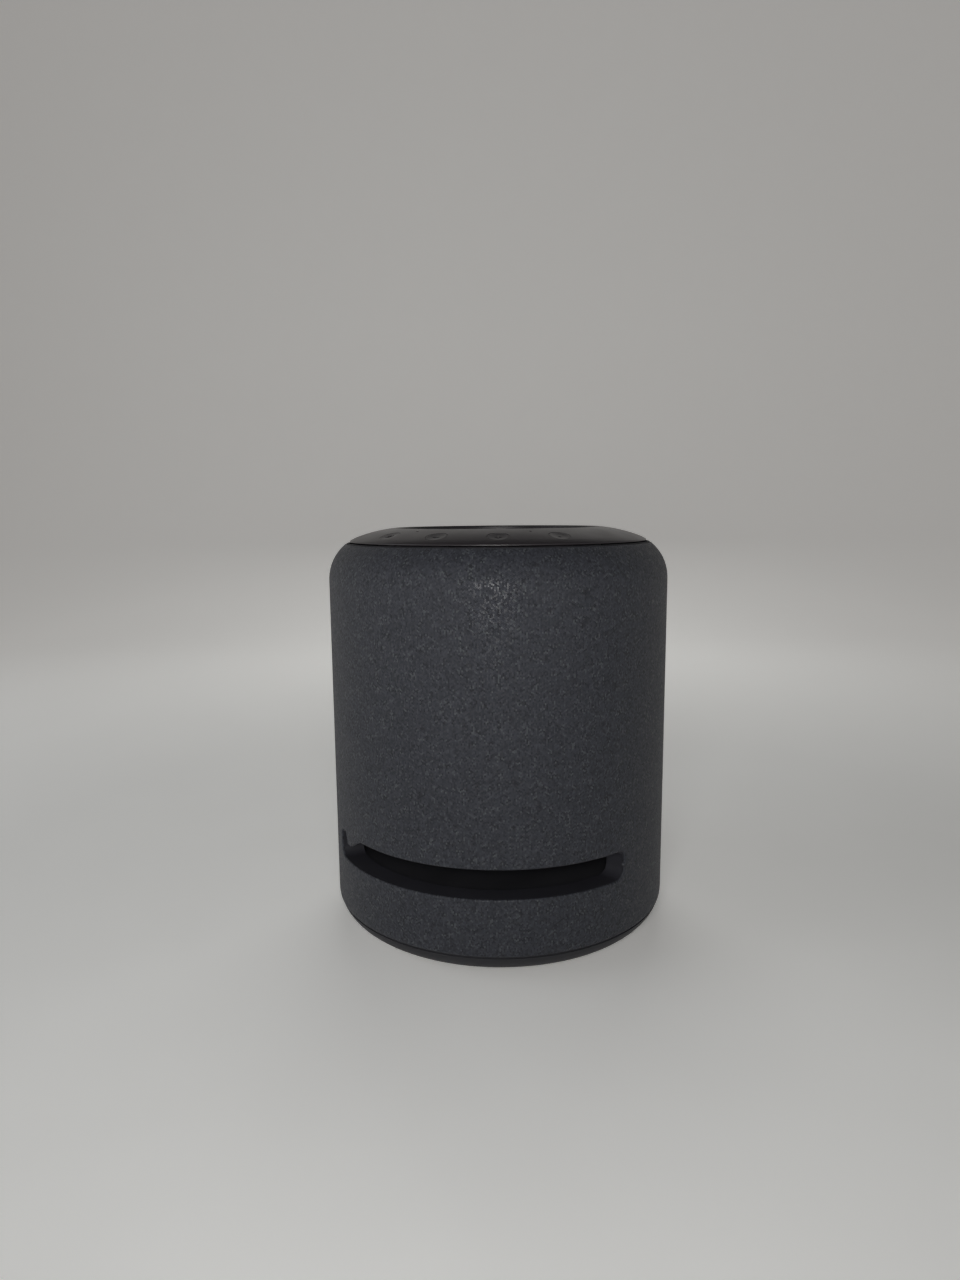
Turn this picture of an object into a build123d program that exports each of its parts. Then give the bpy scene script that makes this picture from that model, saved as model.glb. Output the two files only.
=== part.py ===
from build123d import *
import os
from math import acos, asin, cos, degrees, radians, sin, sqrt, tan

# Smart speaker: an upright drum with a bass slot near the floor and a ring of buttons on top.
# Millimetres, +Z up, the floor at z = 0, the drum's axis on Z and its front towards -Y.
# Azimuths are in degrees from the front, positive towards +X.

# Overall form
overall_height = 206.0
body_radius = 87.5
bottom_round = 14.0
shoulder_round = 23.0
ring_slope = 12.5
rim_inset = 34.5
rim_round = 0.8

# Walls and clearances
fabric_thickness = 0.9
skin_clearance = 0.1
housing_wall = 3.0
fit_clearance = 0.2
thread_clearance = 0.05
glue_gap = 0.05

# Screws
screw_shank_radius = 1.6
screw_head_radius = 3.0
screw_head_height = 2.0
small_shank_radius = 1.0
small_head_radius = 1.8
small_head_height = 1.4
hex_share = 0.5

# Base pan and foot
foot_lift = 2.8
foot_groove = 1.0
foot_outer_radius = 66.0
foot_width = 12.0
base_wall = 2.5
base_band_height = 10.2
base_band_inset = 0.2
base_groove = 0.8
tongue_height = 4.0
tongue_wall = 1.5
base_screw_circle = 45.0
base_screw_azimuths = (45, 135, 225, 315)
base_pad_height = 3.0
base_pad_radius = 6.0
base_counterbore = 3.0
base_screw_length = 14.0
boss_radius = 4.5

# Bass slot and the chamber behind it
slot_sill = 41.0
slot_height = 14.0
slot_half_angle = 54.5
slot_corner = 5.0
trim_wall = 1.5
trim_depth = 10.0
floor_thickness = 3.0
baffle_thickness = 4.5
deflector_radius = 42.0
deflector_height = 11.0
deflector_tip_radius = 6.0
deflector_lip = 1.5
column_inset = 4.0
column_radius = 5.0
column_azimuths = (75, 135, -135, -75)
housing_boss_height = 14.0
housing_screw_bite = 10.0

# Woofer, facing down
woofer_column_gap = 8.0
woofer_flange_thickness = 1.5
woofer_flange_overlap = 3.0
woofer_gasket_thickness = 2.0
woofer_gasket_width = 6.5
woofer_outer_lip = 4.0
woofer_roll = 8.0
woofer_inner_lip = 3.0
woofer_rubber = 0.8
woofer_cone_skin = 0.8
woofer_cone_depth = 22.0
woofer_cone_lip = 3.5
woofer_cap_radius = 22.0
woofer_cap_height = 6.0
woofer_coil_radius = 15.5
coil_former = 0.3
coil_winding = 0.7
coil_gap = 0.5
woofer_coil_front = 21.5
woofer_coil_length = 19.5
woofer_winding_length = 8.0
woofer_basket_sheet = 1.5
woofer_spider_depth = 25.6
woofer_spider_radius = 38.0
woofer_spider_lip = 3.0
woofer_spider_sheet = 0.6
woofer_spider_wave = 1.0
woofer_spider_waves = 4
woofer_seat_depth = 31.0
woofer_plate_radius = 40.0
woofer_plate_thickness = 6.0
woofer_magnet_radius = 45.0
woofer_magnet_bore = 22.0
woofer_magnet_thickness = 15.0
woofer_yoke_radius = 42.0
woofer_yoke_thickness = 6.0
woofer_window_width = 26.0
woofer_screw_azimuths = (0, 60, 120, 180, 240, 300)
woofer_screw_bite = 3.0

# Midrange drivers, one to each side and one facing up
mid_radius = 30.0
mid_flange_thickness = 1.5
mid_screw_circle = 27.8
mid_outer_lip = 1.8
mid_roll = 3.6
mid_inner_lip = 1.4
mid_rubber = 0.6
mid_surround_radius = 25.4
mid_cone_skin = 0.6
mid_cone_depth = 9.0
mid_cap_height = 2.4
mid_coil_radius = 6.7
mid_coil_wall = 0.5
mid_coil_length = 11.0
mid_basket_depth = 13.5
mid_basket_sheet = 1.2
mid_basket_back_radius = 17.0
mid_motor_radius = 15.0
mid_motor_depth = 11.0
mid_pole_gap = 0.5
mid_plate_gap = 0.8
mid_plate_thickness = 3.0
mid_window_width = 12.0
driver_screw_azimuths = (45, 135, 225, 315)
driver_screw_bite = 4.5
cup_wall = 2.2
cup_spare = 1.0
mid_boss_wall = 2.5
driver_boss_depth = 1.5

# Tweeter, facing the front
tweeter_radius = 23.0
tweeter_plate_thickness = 3.0
tweeter_dome_radius = 12.5
tweeter_dome_height = 4.2
tweeter_dome_skin = 0.5
tweeter_dome_gap = 0.7
tweeter_flare = 3.3
tweeter_bore_edge = 1.0
tweeter_coil_wall = 0.5
tweeter_coil_length = 5.0
tweeter_motor_radius = 17.0
tweeter_motor_depth = 15.0
tweeter_motor_wall = 3.0
tweeter_screw_circle = 20.7
tweeter_boss_wall = 2.5
tweeter_boss_bore = 18.0

# Sound slots in the upper housing, in front of the small drivers
sound_slot = 4.0
sound_slot_pitch = 7.0
sound_slot_margin = 1.5

# Top deck, ring, grille, light ring and button board
gap_inset = 9.1
light_width = 1.3
light_recess = 0.7
light_height = 3.6
edge_gap = 0.2
led_width = 1.1
led_height = 0.8
led_count = 24
board_thickness = 1.6
post_radius = 3.0
post_height = 4.0
post_inset = 4.5
post_azimuths = (30, 90, 150, 210, 270, 330)
deck_thickness = 3.0
ledge_width = 3.1
ledge_height = 4.0
ring_wall = 2.5
grille_recess = 7.8
grille_thickness = 1.2
grille_ledge = 2.5
grille_hole_radius = 2.2
grille_pitch = 7.5

# Buttons and what sits under the ring
button_radius = 5.0
button_edge = 8.2
button_gap = 0.25
button_recess = 0.25
button_dish = 0.5
button_dish_radius = 4.2
button_travel = 0.5
button_flange = 1.2
button_flange_thickness = 1.0
button_flange_drop = 0.9
button_stem_radius = 1.5
button_azimuths = {
    "mute_button": -36,
    "volume_down_button": -12,
    "volume_up_button": 12,
    "action_button": 36,
}
switch_width = 6.0
switch_height = 3.2
microphone_inset = 5.5
microphone_azimuths = (26, 77, 128, 180, 232, 283, 334)
microphone_hole_radius = 0.6
microphone_size = (3.5, 2.6, 1.0)

# Electronics behind the woofer
bracket_half_width = 33.0
bracket_thickness = 2.0
standoff_length = 4.0
standoff_radius = 2.5
standoff_inset = 5.0
circuit_half_width = 31.0
circuit_thickness = 1.6
power_board_lift = 7.0
power_board_height = 50.0
main_board_drop = 4.0
board_gap = 4.3
shield_size = 26.0
shield_height = 2.5
heat_sink_width = 40.0
heat_sink_height = 36.0
heat_sink_base = 3.0
heat_sink_fin = 1.2
heat_sink_fin_height = 9.0
heat_sink_fins = 8
transformer_size = (24.0, 15.0, 20.0)
capacitor_radius = 5.0
capacitor_length = 16.0
capacitor_gap = 5.0

# Rear port panel and sockets
panel_width = 46.0
panel_height = 17.0
panel_drop = 2.0
panel_inset = 0.7
panel_recess = 7.5
panel_wall = 2.2
panel_floor = 2.5
inlet_x = -10.0
inlet_width = 13.4
inlet_height = 8.0
inlet_depth = 12.0
inlet_shell = 1.3
inlet_body_depth = 15.0
inlet_pin_radius = 1.2
inlet_pin_pitch = 8.6
inlet_pin_length = 9.0
jack_x = 5.5
jack_radius = 1.8
jack_depth = 14.0
jack_nose_radius = 3.3
jack_body = 9.0
jack_body_depth = 15.0
port_x = 15.5
port_width = 7.6
port_height = 3.0
port_shell = 0.45
port_depth = 6.0

# Internal leads
mains_lead_radius = 1.6
audio_lead_radius = 1.2
lead_clearance = 0.4
ribbon_width = 14.0
ribbon_thickness = 0.8
duct_wall = 3.0

# Radii and heights that follow from the sizes above
skin_depth = fabric_thickness + skin_clearance
housing_radius = body_radius - skin_depth
gap_radius = body_radius - gap_inset
rim_radius = body_radius - rim_inset
foot_inner_radius = foot_outer_radius - foot_width
housing_inner = housing_radius - housing_wall
inner_depth = skin_depth + housing_wall
bottom_centre = (body_radius - bottom_round, foot_lift + bottom_round - base_band_inset)
slope = radians(ring_slope)
ring_break = body_radius - shoulder_round + shoulder_round * sin(slope)
rim_corner = overall_height + rim_round * (tan(slope) + 1 / cos(slope) - 1)
shoulder_height = rim_corner - shoulder_round * cos(slope) - (ring_break - rim_radius) * tan(slope)
shoulder_centre = (body_radius - shoulder_round, shoulder_height)
fabric_bottom = foot_lift + base_band_height
slot_top = slot_sill + slot_height
floor_top = slot_sill - trim_wall
floor_bottom = floor_top - floor_thickness
ceiling_bottom = slot_top + trim_wall
baffle_top = ceiling_bottom + baffle_thickness
column_circle = housing_inner - column_inset
screw_hole = screw_shank_radius + fit_clearance
screw_pilot = screw_shank_radius + thread_clearance
small_hole = small_shank_radius + fit_clearance
small_pilot = small_shank_radius + thread_clearance


# Basic shapes

def polar_point(centre, radius, angle):
    """Point at an angle in degrees from +r, on a circle drawn in (radius, height)."""
    r = centre[0] + radius * cos(radians(angle))
    z = centre[1] + radius * sin(radians(angle))
    return (round(r, 9), round(z, 9))


def arc_step(centre, radius, start, stop):
    """Arc step of a lathe outline: the point half way and the point where it ends."""
    return (polar_point(centre, radius, (start + stop) / 2), polar_point(centre, radius, stop))


def lathe(outline):
    """Solid turned about Z from a closed outline of (radius, height) points and arc steps."""
    edges = []
    here = outline[0]
    for step in outline[1:] + outline[:1]:
        is_arc = isinstance(step[0], tuple)
        end = step[1] if is_arc else step
        edges.append(ThreePointArc(here, step[0], end) if is_arc else Line(here, end))
        here = end
    return revolve(Plane.XZ * make_face(edges), Axis.Z)


def ring(inner, outer, low, high):
    """Plain ring about Z."""
    return lathe([(inner, low), (outer, low), (outer, high), (inner, high)])


def rod(radius, low, high):
    """Plain disc or rod about Z."""
    return ring(0, radius, low, high)


def block(x0, x1, y0, y1, z0, z1):
    """Box between two corners."""
    return Pos((x0 + x1) / 2, (y0 + y1) / 2, (z0 + z1) / 2) * Box(x1 - x0, y1 - y0, z1 - z0)


def around(circle, azimuth, height=0.0):
    """Place on a circle about the axis, with local -Y pointing outward."""
    return Rot(0, 0, azimuth) * Pos(0, -circle, height)


def facing(azimuth, distance, height):
    """Place whose local +Z points outward, level, with local +Y upward."""
    return around(distance, azimuth, height) * Rot(90, 0, 0)


def drills(radius, low, high, circle, azimuths):
    """Rods for a circle of holes."""
    return [around(circle, azimuth) * rod(radius, low, high) for azimuth in azimuths]


def sector(inner, outer, low, high, half_angle):
    """Piece of a ring, centred on the front."""
    outline = Polyline((inner, low), (outer, low), (outer, high), (inner, high), close=True)
    piece = revolve(Plane.XZ * make_face(outline), Axis.Z, revolution_arc=2 * half_angle)
    return Rot(0, 0, -90 - half_angle) * piece


def slot_cutter(inner, outer):
    """The bass slot as a solid, with rounded ends."""
    cutter = sector(inner, outer, slot_sill, slot_top, slot_half_angle)
    ends = cutter.edges().filter_by(GeomType.LINE).filter_by(Axis.Z, reverse=True)
    return fillet(ends, slot_corner)


def stadium(width, height, y0, y1, x, z):
    """Bar with half-round sides that runs along Y."""
    sketch = SlotOverall(width, height)
    return Pos(x, y1, z) * Rot(90, 0, 0) * extrude(sketch, y1 - y0)


def bar(radius, y0, y1, x, z):
    """Round bar that runs along Y."""
    return Pos(x, y1, z) * Rot(90, 0, 0) * rod(radius, 0, y1 - y0)


def screw(shank, head, head_height, length):
    """Socket-head screw that points up, with the seat of its head at z = 0."""
    socket = extrude(RegularPolygon(head * hex_share, 6), head_height * hex_share)
    body = rod(head, -head_height, 0) + rod(shank, 0, length)
    return body - Pos(0, 0, -head_height) * socket


def dome(radius, height, thickness, base):
    """Thin spherical cap that bulges up from a rim at height base."""
    sphere = (radius**2 + height**2) / (2 * height)
    centre = (0, base + height - sphere)
    outer = degrees(asin((sphere - height) / sphere))
    inner = degrees(asin((sphere - height) / (sphere - thickness)))
    top = polar_point(centre, sphere - thickness, 90)
    outline = [polar_point(centre, sphere, outer), arc_step(centre, sphere, outer, 90), top]
    return lathe(outline + [arc_step(centre, sphere - thickness, 90, inner)])


def half_roll(inner, roll_inner, roll_outer, outer, thickness):
    """Surround with two flat lips on z = 0 and a half roll that bulges up between them."""
    centre = ((roll_inner + roll_outer) / 2, 0)
    under = (roll_outer - roll_inner - thickness) / 2
    over = under + thickness
    lip = degrees(asin(thickness / over))
    outline = [(inner, 0), polar_point(centre, under, 180), arc_step(centre, under, 180, 0)]
    outline += [(outer, 0), (outer, thickness), polar_point(centre, over, lip)]
    outline += [arc_step(centre, over, lip, 180 - lip), (inner, thickness)]
    return lathe(outline)


# Outline of the drum

def bottom_angle(depth, height):
    """Angle on the bottom rounding, at a depth under the skin, of a height."""
    return degrees(asin((height - bottom_centre[1]) / (bottom_round - depth)))


def shoulder_angle(depth, radius):
    """Angle on the shoulder rounding, at a depth under the skin, of a radius."""
    return degrees(acos((radius - shoulder_centre[0]) / (shoulder_round - depth)))


def shoulder_z(depth, radius):
    """Height of the shoulder rounding, at a depth under the skin, at a radius."""
    return polar_point(shoulder_centre, shoulder_round - depth, shoulder_angle(depth, radius))[1]


def ring_outline(depth, inner, outer):
    """Outline of the top ring's face at a depth, from its outer edge in to a radius."""
    radius = shoulder_round - depth
    start = shoulder_angle(depth, outer)
    last = polar_point(shoulder_centre, radius, 90 - ring_slope)
    rise = (last[0] - inner) * tan(slope)
    edge = polar_point(shoulder_centre, radius, start)
    return [edge, arc_step(shoulder_centre, radius, start, 90 - ring_slope), (inner, last[1] + rise)]


parts = {}


# Base pan, foot and their screws

base_top = foot_lift + base_wall
pad_top = base_top + base_pad_height
pan_outer = bottom_round - base_band_inset
pan_inner = pan_outer - base_wall
rim_out = bottom_angle(base_band_inset, fabric_bottom)
rim_in = bottom_angle(base_band_inset + base_wall, fabric_bottom)
lower_round = bottom_round - skin_depth
lower_out = bottom_angle(skin_depth, fabric_bottom)
lower_in = bottom_angle(inner_depth, fabric_bottom)
lower_edge = polar_point(bottom_centre, lower_round, lower_out)
tongue_outer = polar_point(bottom_centre, bottom_round - inner_depth, lower_in)[0] - fit_clearance
tongue_reach = tongue_outer - bottom_centre[0]
tongue_root = bottom_centre[1] - sqrt((pan_outer - base_wall / 2) ** 2 - tongue_reach**2)

base_pan = lathe([
    (0, foot_lift),
    (bottom_centre[0], foot_lift),
    arc_step(bottom_centre, pan_outer, -90, rim_out),
    polar_point(bottom_centre, pan_inner, rim_in),
    arc_step(bottom_centre, pan_inner, rim_in, -90),
    (0, base_top),
])
base_pan -= ring(lower_edge[0], body_radius, fabric_bottom - base_groove, fabric_bottom)
base_pan += ring(tongue_outer - tongue_wall, tongue_outer, tongue_root, fabric_bottom + tongue_height)
base_pan += drills(base_pad_radius, foot_lift, pad_top, base_screw_circle, base_screw_azimuths)
base_pan -= drills(screw_hole, foot_lift, pad_top, base_screw_circle, base_screw_azimuths)
base_head_hole = screw_head_radius + fit_clearance
base_head_seat = foot_lift + base_counterbore
base_pan -= drills(base_head_hole, foot_lift, base_head_seat, base_screw_circle, base_screw_azimuths)
foot_top = foot_lift + foot_groove
base_pan -= ring(foot_inner_radius - fit_clearance, foot_outer_radius + fit_clearance, 0, foot_top)
parts["base_pan"] = base_pan
parts["foot_ring"] = ring(foot_inner_radius, foot_outer_radius, 0, foot_top)

base_screw = screw(screw_shank_radius, screw_head_radius, screw_head_height, base_screw_length)
parts["base_screws"] = Compound([
    around(base_screw_circle, azimuth, base_head_seat) * base_screw
    for azimuth in base_screw_azimuths
])

# Rear port panel: a shallow tray in the lower housing's rear wall

panel_top = floor_bottom - panel_drop
panel_bottom = panel_top - panel_height
panel_half = panel_width / 2
panel_face = body_radius - panel_recess
panel_back = panel_face - panel_floor
socket_z = (panel_bottom + panel_top) / 2
jack_hole = jack_nose_radius + fit_clearance
inlet_outer = (inlet_width + 2 * inlet_shell, inlet_height + 2 * inlet_shell)
inlet_hole = (inlet_outer[0] + 2 * fit_clearance, inlet_outer[1] + 2 * fit_clearance)
port_hole = (port_width / 2 + fit_clearance, port_height / 2 + fit_clearance)
panel_pocket = (panel_half - panel_wall, panel_bottom + panel_wall, panel_top - panel_wall)

panel_body = block(-panel_half, panel_half, panel_back, body_radius, panel_bottom, panel_top)
panel_body &= rod(body_radius - panel_inset, 0, overall_height)
panel_body -= block(
    -panel_pocket[0], panel_pocket[0], panel_face, body_radius, panel_pocket[1], panel_pocket[2]
)
panel_body -= stadium(inlet_hole[0], inlet_hole[1], panel_back, panel_face, inlet_x, socket_z)
panel_body -= bar(jack_hole, panel_back, panel_face, jack_x, socket_z)
panel_body -= block(
    port_x - port_hole[0], port_x + port_hole[0], panel_back, panel_face,
    socket_z - port_hole[1], socket_z + port_hole[1],
)
parts["port_panel"] = panel_body

inlet_back = panel_back - inlet_body_depth
inlet = stadium(inlet_outer[0], inlet_outer[1], panel_back, panel_face, inlet_x, socket_z)
inlet += block(
    inlet_x - inlet_outer[0] / 2, inlet_x + inlet_outer[0] / 2, inlet_back, panel_back,
    socket_z - inlet_outer[1] / 2, socket_z + inlet_outer[1] / 2,
)
inlet_floor = panel_face - inlet_depth
inlet -= stadium(inlet_width, inlet_height, inlet_floor, panel_face, inlet_x, socket_z)
inlet_pin_tip = inlet_floor + inlet_pin_length
inlet_pins = [
    bar(inlet_pin_radius, inlet_floor, inlet_pin_tip, inlet_x + side * inlet_pin_pitch / 2, socket_z)
    for side in (-1, 1)
]
parts["power_inlet"] = Compound([inlet] + inlet_pins)

jack = bar(jack_nose_radius, panel_back, panel_face, jack_x, socket_z)
jack += block(
    jack_x - jack_body / 2, jack_x + jack_body / 2, panel_back - jack_body_depth, panel_back,
    socket_z - jack_body / 2, socket_z + jack_body / 2,
)
jack -= bar(jack_radius, panel_face - jack_depth, panel_face, jack_x, socket_z)
parts["audio_jack"] = jack

port = block(
    port_x - port_width / 2, port_x + port_width / 2, panel_face - port_depth, panel_face,
    socket_z - port_height / 2, socket_z + port_height / 2,
)
port -= block(
    port_x - port_width / 2 + port_shell, port_x + port_width / 2 - port_shell,
    panel_face - port_depth + port_shell, panel_face,
    socket_z - port_height / 2 + port_shell, socket_z + port_height / 2 - port_shell,
)
parts["service_port"] = port

# Lower housing: fabric-covered wall with the floor of the slot chamber

bracket_back = sqrt((housing_inner - fit_clearance) ** 2 - bracket_half_width**2)
bracket_front = bracket_back - bracket_thickness
circuit_back = bracket_front - standoff_length
circuit_front = circuit_back - circuit_thickness
lead_y = (circuit_front + circuit_back) / 2
lead_holes = [
    Pos(inlet_x, lead_y, 0) * rod(mains_lead_radius + lead_clearance, floor_bottom, baffle_top),
    Pos(jack_x, lead_y, 0) * rod(audio_lead_radius + lead_clearance, floor_bottom, baffle_top),
]

lower_housing = lathe([
    lower_edge,
    arc_step(bottom_centre, lower_round, lower_out, 0),
    (housing_radius, floor_top),
    (0, floor_top),
    (0, floor_bottom),
    (housing_inner, floor_bottom),
    polar_point(bottom_centre, bottom_round - inner_depth, 0),
    arc_step(bottom_centre, bottom_round - inner_depth, 0, lower_in),
])
lower_housing += drills(boss_radius, pad_top, floor_bottom, base_screw_circle, base_screw_azimuths)
base_screw_end = base_head_seat + base_screw_length + fit_clearance
lower_housing -= drills(screw_pilot, pad_top, base_screw_end, base_screw_circle, base_screw_azimuths)
lower_housing -= drills(screw_hole, floor_bottom, floor_top, column_circle, column_azimuths)
lower_housing -= lead_holes
lower_housing -= block(
    -panel_half - fit_clearance, panel_half + fit_clearance, panel_back, body_radius,
    panel_bottom - fit_clearance, panel_top + fit_clearance,
)
parts["lower_housing"] = lower_housing

# Slot surround: side and rear wall of the slot chamber, with its columns and lead duct

trim_half_angle = slot_half_angle + degrees(trim_wall / housing_radius)
opening_half_angle = trim_half_angle + degrees(fit_clearance / housing_radius)

slot_surround = ring(housing_inner, housing_radius, floor_top, ceiling_bottom)
columns = drills(column_radius, floor_top, ceiling_bottom, column_circle, column_azimuths)
duct = block(
    inlet_x - mains_lead_radius - duct_wall, jack_x + audio_lead_radius + duct_wall,
    lead_y - mains_lead_radius - duct_wall, body_radius, floor_top, ceiling_bottom,
)
inside = rod(housing_inner + housing_wall / 2, 0, overall_height)
slot_surround += [piece & inside for piece in columns + [duct]]
slot_surround -= sector(
    housing_inner - column_radius, body_radius, floor_top, ceiling_bottom, opening_half_angle
)
slot_surround -= drills(screw_hole, floor_top, ceiling_bottom, column_circle, column_azimuths)
slot_surround -= lead_holes
parts["slot_surround"] = slot_surround

slot_trim = sector(housing_radius - trim_depth, housing_radius, floor_top, ceiling_bottom, trim_half_angle)
slot_trim -= slot_cutter(housing_radius - 2 * trim_depth, body_radius + trim_depth)
parts["slot_trim"] = slot_trim

deflector_top = floor_top + deflector_height
parts["bass_deflector"] = lathe([
    (0, floor_top),
    (deflector_radius, floor_top),
    (deflector_radius, floor_top + deflector_lip),
    (deflector_tip_radius, deflector_top),
    (0, deflector_top),
])

# Woofer baffle and the screws that clamp the housings

woofer_radius = column_circle - column_radius - woofer_column_gap
woofer_gasket_inner = woofer_radius - woofer_gasket_width
woofer_screw_circle = woofer_radius - woofer_gasket_width / 2
woofer_place = Pos(0, 0, baffle_top + woofer_gasket_thickness) * Rot(180, 0, 0)

baffle = ring(woofer_gasket_inner, housing_inner - fit_clearance, ceiling_bottom, baffle_top)
baffle -= drills(screw_hole, ceiling_bottom, baffle_top, column_circle, column_azimuths)
woofer_screw_end = baffle_top - woofer_screw_bite - fit_clearance
baffle -= drills(screw_pilot, woofer_screw_end, baffle_top, woofer_screw_circle, woofer_screw_azimuths)
baffle -= lead_holes
parts["woofer_baffle"] = baffle

housing_screw_length = baffle_top - floor_bottom + housing_screw_bite
housing_screw = screw(screw_shank_radius, screw_head_radius, screw_head_height, housing_screw_length)
parts["housing_screws"] = Compound([
    around(column_circle, azimuth, floor_bottom) * housing_screw for azimuth in column_azimuths
])

# Woofer, drawn facing up with the front of its flange on z = 0, then turned to face down

woofer_surround_outer = woofer_gasket_inner - fit_clearance
woofer_roll_outer = woofer_surround_outer - woofer_outer_lip
woofer_roll_inner = woofer_roll_outer - woofer_roll
woofer_flange_inner = woofer_roll_outer - woofer_flange_overlap
woofer_cone_outer = woofer_roll_inner - woofer_rubber
woofer_cone_inner = woofer_cone_outer - woofer_cone_lip
former_outer = woofer_coil_radius + coil_former
winding_outer = former_outer + coil_winding
neck = former_outer + glue_gap
ledge_inner = woofer_spider_radius - woofer_spider_lip
seat_back = woofer_seat_depth
plate_back = seat_back + woofer_plate_thickness
magnet_back = plate_back + woofer_magnet_thickness
yoke_back = magnet_back + woofer_yoke_thickness

woofer = {}
gasket = ring(woofer_gasket_inner, woofer_radius, 0, woofer_gasket_thickness)
gasket -= drills(screw_hole, 0, woofer_gasket_thickness, woofer_screw_circle, woofer_screw_azimuths)
woofer["woofer_gasket"] = gasket

basket = lathe([
    (woofer_flange_inner, 0),
    (woofer_radius, 0),
    (woofer_radius, -woofer_flange_thickness),
    (woofer_flange_inner + woofer_basket_sheet, -woofer_flange_thickness),
    (woofer_spider_radius + 2 * woofer_basket_sheet, -woofer_spider_depth - woofer_basket_sheet),
    (ledge_inner + woofer_basket_sheet, -woofer_spider_depth - woofer_basket_sheet),
    (ledge_inner + woofer_basket_sheet, -seat_back),
    (winding_outer + coil_gap, -seat_back),
    (winding_outer + coil_gap, -seat_back + woofer_basket_sheet),
    (ledge_inner, -seat_back + woofer_basket_sheet),
    (ledge_inner, -woofer_spider_depth),
    (woofer_spider_radius + woofer_basket_sheet, -woofer_spider_depth),
    (woofer_flange_inner, -woofer_flange_thickness),
])
window = block(
    -woofer_window_width / 2, woofer_window_width / 2, -woofer_radius, -woofer_spider_radius,
    -woofer_spider_depth + 2 * woofer_basket_sheet, -woofer_flange_thickness - 2 * woofer_basket_sheet,
)
basket -= [Rot(0, 0, azimuth) * window for azimuth in woofer_screw_azimuths]
basket -= drills(screw_hole, -woofer_flange_thickness, 0, woofer_screw_circle, woofer_screw_azimuths)
woofer["woofer_basket"] = basket

woofer["woofer_top_plate"] = ring(winding_outer + coil_gap, woofer_plate_radius, -plate_back, -seat_back)
woofer["woofer_magnet"] = ring(woofer_magnet_bore, woofer_magnet_radius, -magnet_back, -plate_back)
woofer["woofer_yoke"] = rod(woofer_yoke_radius, -yoke_back, -magnet_back)
woofer["woofer_yoke"] += rod(woofer_coil_radius - coil_gap, -magnet_back, -seat_back)

woofer["woofer_cone"] = lathe([
    (woofer_cone_outer, 0),
    (woofer_cone_inner, 0),
    (neck, -woofer_cone_depth),
    (neck, -woofer_cone_depth - woofer_cone_skin),
    (woofer_cone_inner, -woofer_cone_skin),
    (woofer_cone_outer, -woofer_cone_skin),
])
cone_fall = woofer_cone_depth / (woofer_cone_inner - neck)
cap_base = glue_gap - (woofer_cone_inner - woofer_cap_radius) * cone_fall
woofer["woofer_dust_cap"] = dome(woofer_cap_radius, woofer_cap_height, woofer_cone_skin, cap_base)

coil_back = woofer_coil_front + woofer_coil_length
winding_front = (seat_back + plate_back - woofer_winding_length) / 2
woofer["woofer_voice_coil"] = ring(woofer_coil_radius, former_outer, -coil_back, -woofer_coil_front)
woofer["woofer_voice_coil"] += ring(
    former_outer, winding_outer, -winding_front - woofer_winding_length, -winding_front
)

woofer_lip_inner = woofer_roll_inner - woofer_inner_lip
woofer["woofer_surround"] = half_roll(
    woofer_lip_inner, woofer_roll_inner, woofer_roll_outer, woofer_surround_outer, woofer_rubber
)

wave_start = neck + woofer_spider_lip
wave_step = (ledge_inner - wave_start) / (2 * woofer_spider_waves)
waves = [
    (wave_start + (index + 0.5) * wave_step, (-1) ** index * woofer_spider_wave)
    for index in range(2 * woofer_spider_waves)
]
spider_line = [(neck, 0), (wave_start, 0)] + waves + [(ledge_inner, 0), (woofer_spider_radius, 0)]
spider_back = [(radius, height + woofer_spider_sheet) for radius, height in reversed(spider_line)]
woofer["woofer_spider"] = Pos(0, 0, -woofer_spider_depth) * lathe(spider_line + spider_back)

woofer_screw = screw(
    screw_shank_radius, screw_head_radius, screw_head_height,
    woofer_flange_thickness + woofer_gasket_thickness + woofer_screw_bite,
)
woofer["woofer_screws"] = Compound([
    around(woofer_screw_circle, azimuth, -woofer_flange_thickness) * woofer_screw
    for azimuth in woofer_screw_azimuths
])
parts.update({name: woofer_place * piece for name, piece in woofer.items()})

# Heights of the top group, from the light ring down

light_outer = gap_radius - edge_gap
light_inner = light_outer - light_width
ring_outer = light_inner - edge_gap
rim_wall_outer = rim_radius + ring_wall
button_circle = ring_outer - button_edge
microphone_circle = rim_wall_outer + microphone_inset
post_circle = rim_wall_outer + post_inset
board_top = shoulder_z(light_recess, gap_radius) - light_height - edge_gap - led_height
board_bottom = board_top - board_thickness
deck_top = board_bottom - post_height
deck_bottom = deck_top - deck_thickness
ledge_bottom = deck_bottom - ledge_height

# Midrange driver, drawn facing up with the back of its flange on z = 0

mid_front = mid_flange_thickness
mid_roll_outer = mid_surround_radius - mid_outer_lip
mid_roll_inner = mid_roll_outer - mid_roll
mid_cone_outer = mid_roll_inner
mid_cone_inner = mid_cone_outer - mid_inner_lip
mid_flange_inner = (mid_roll_inner + mid_roll_outer) / 2
mid_back = mid_front - mid_basket_depth - mid_basket_sheet
mid_seat = mid_back + mid_basket_sheet
mid_coil_outer = mid_coil_radius + mid_coil_wall
mid_motor_back = mid_back - mid_motor_depth
mid_plate_bore = mid_coil_outer + mid_plate_gap
mid_pole = mid_coil_radius - mid_pole_gap
mid_neck = mid_front - mid_cone_depth

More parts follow.
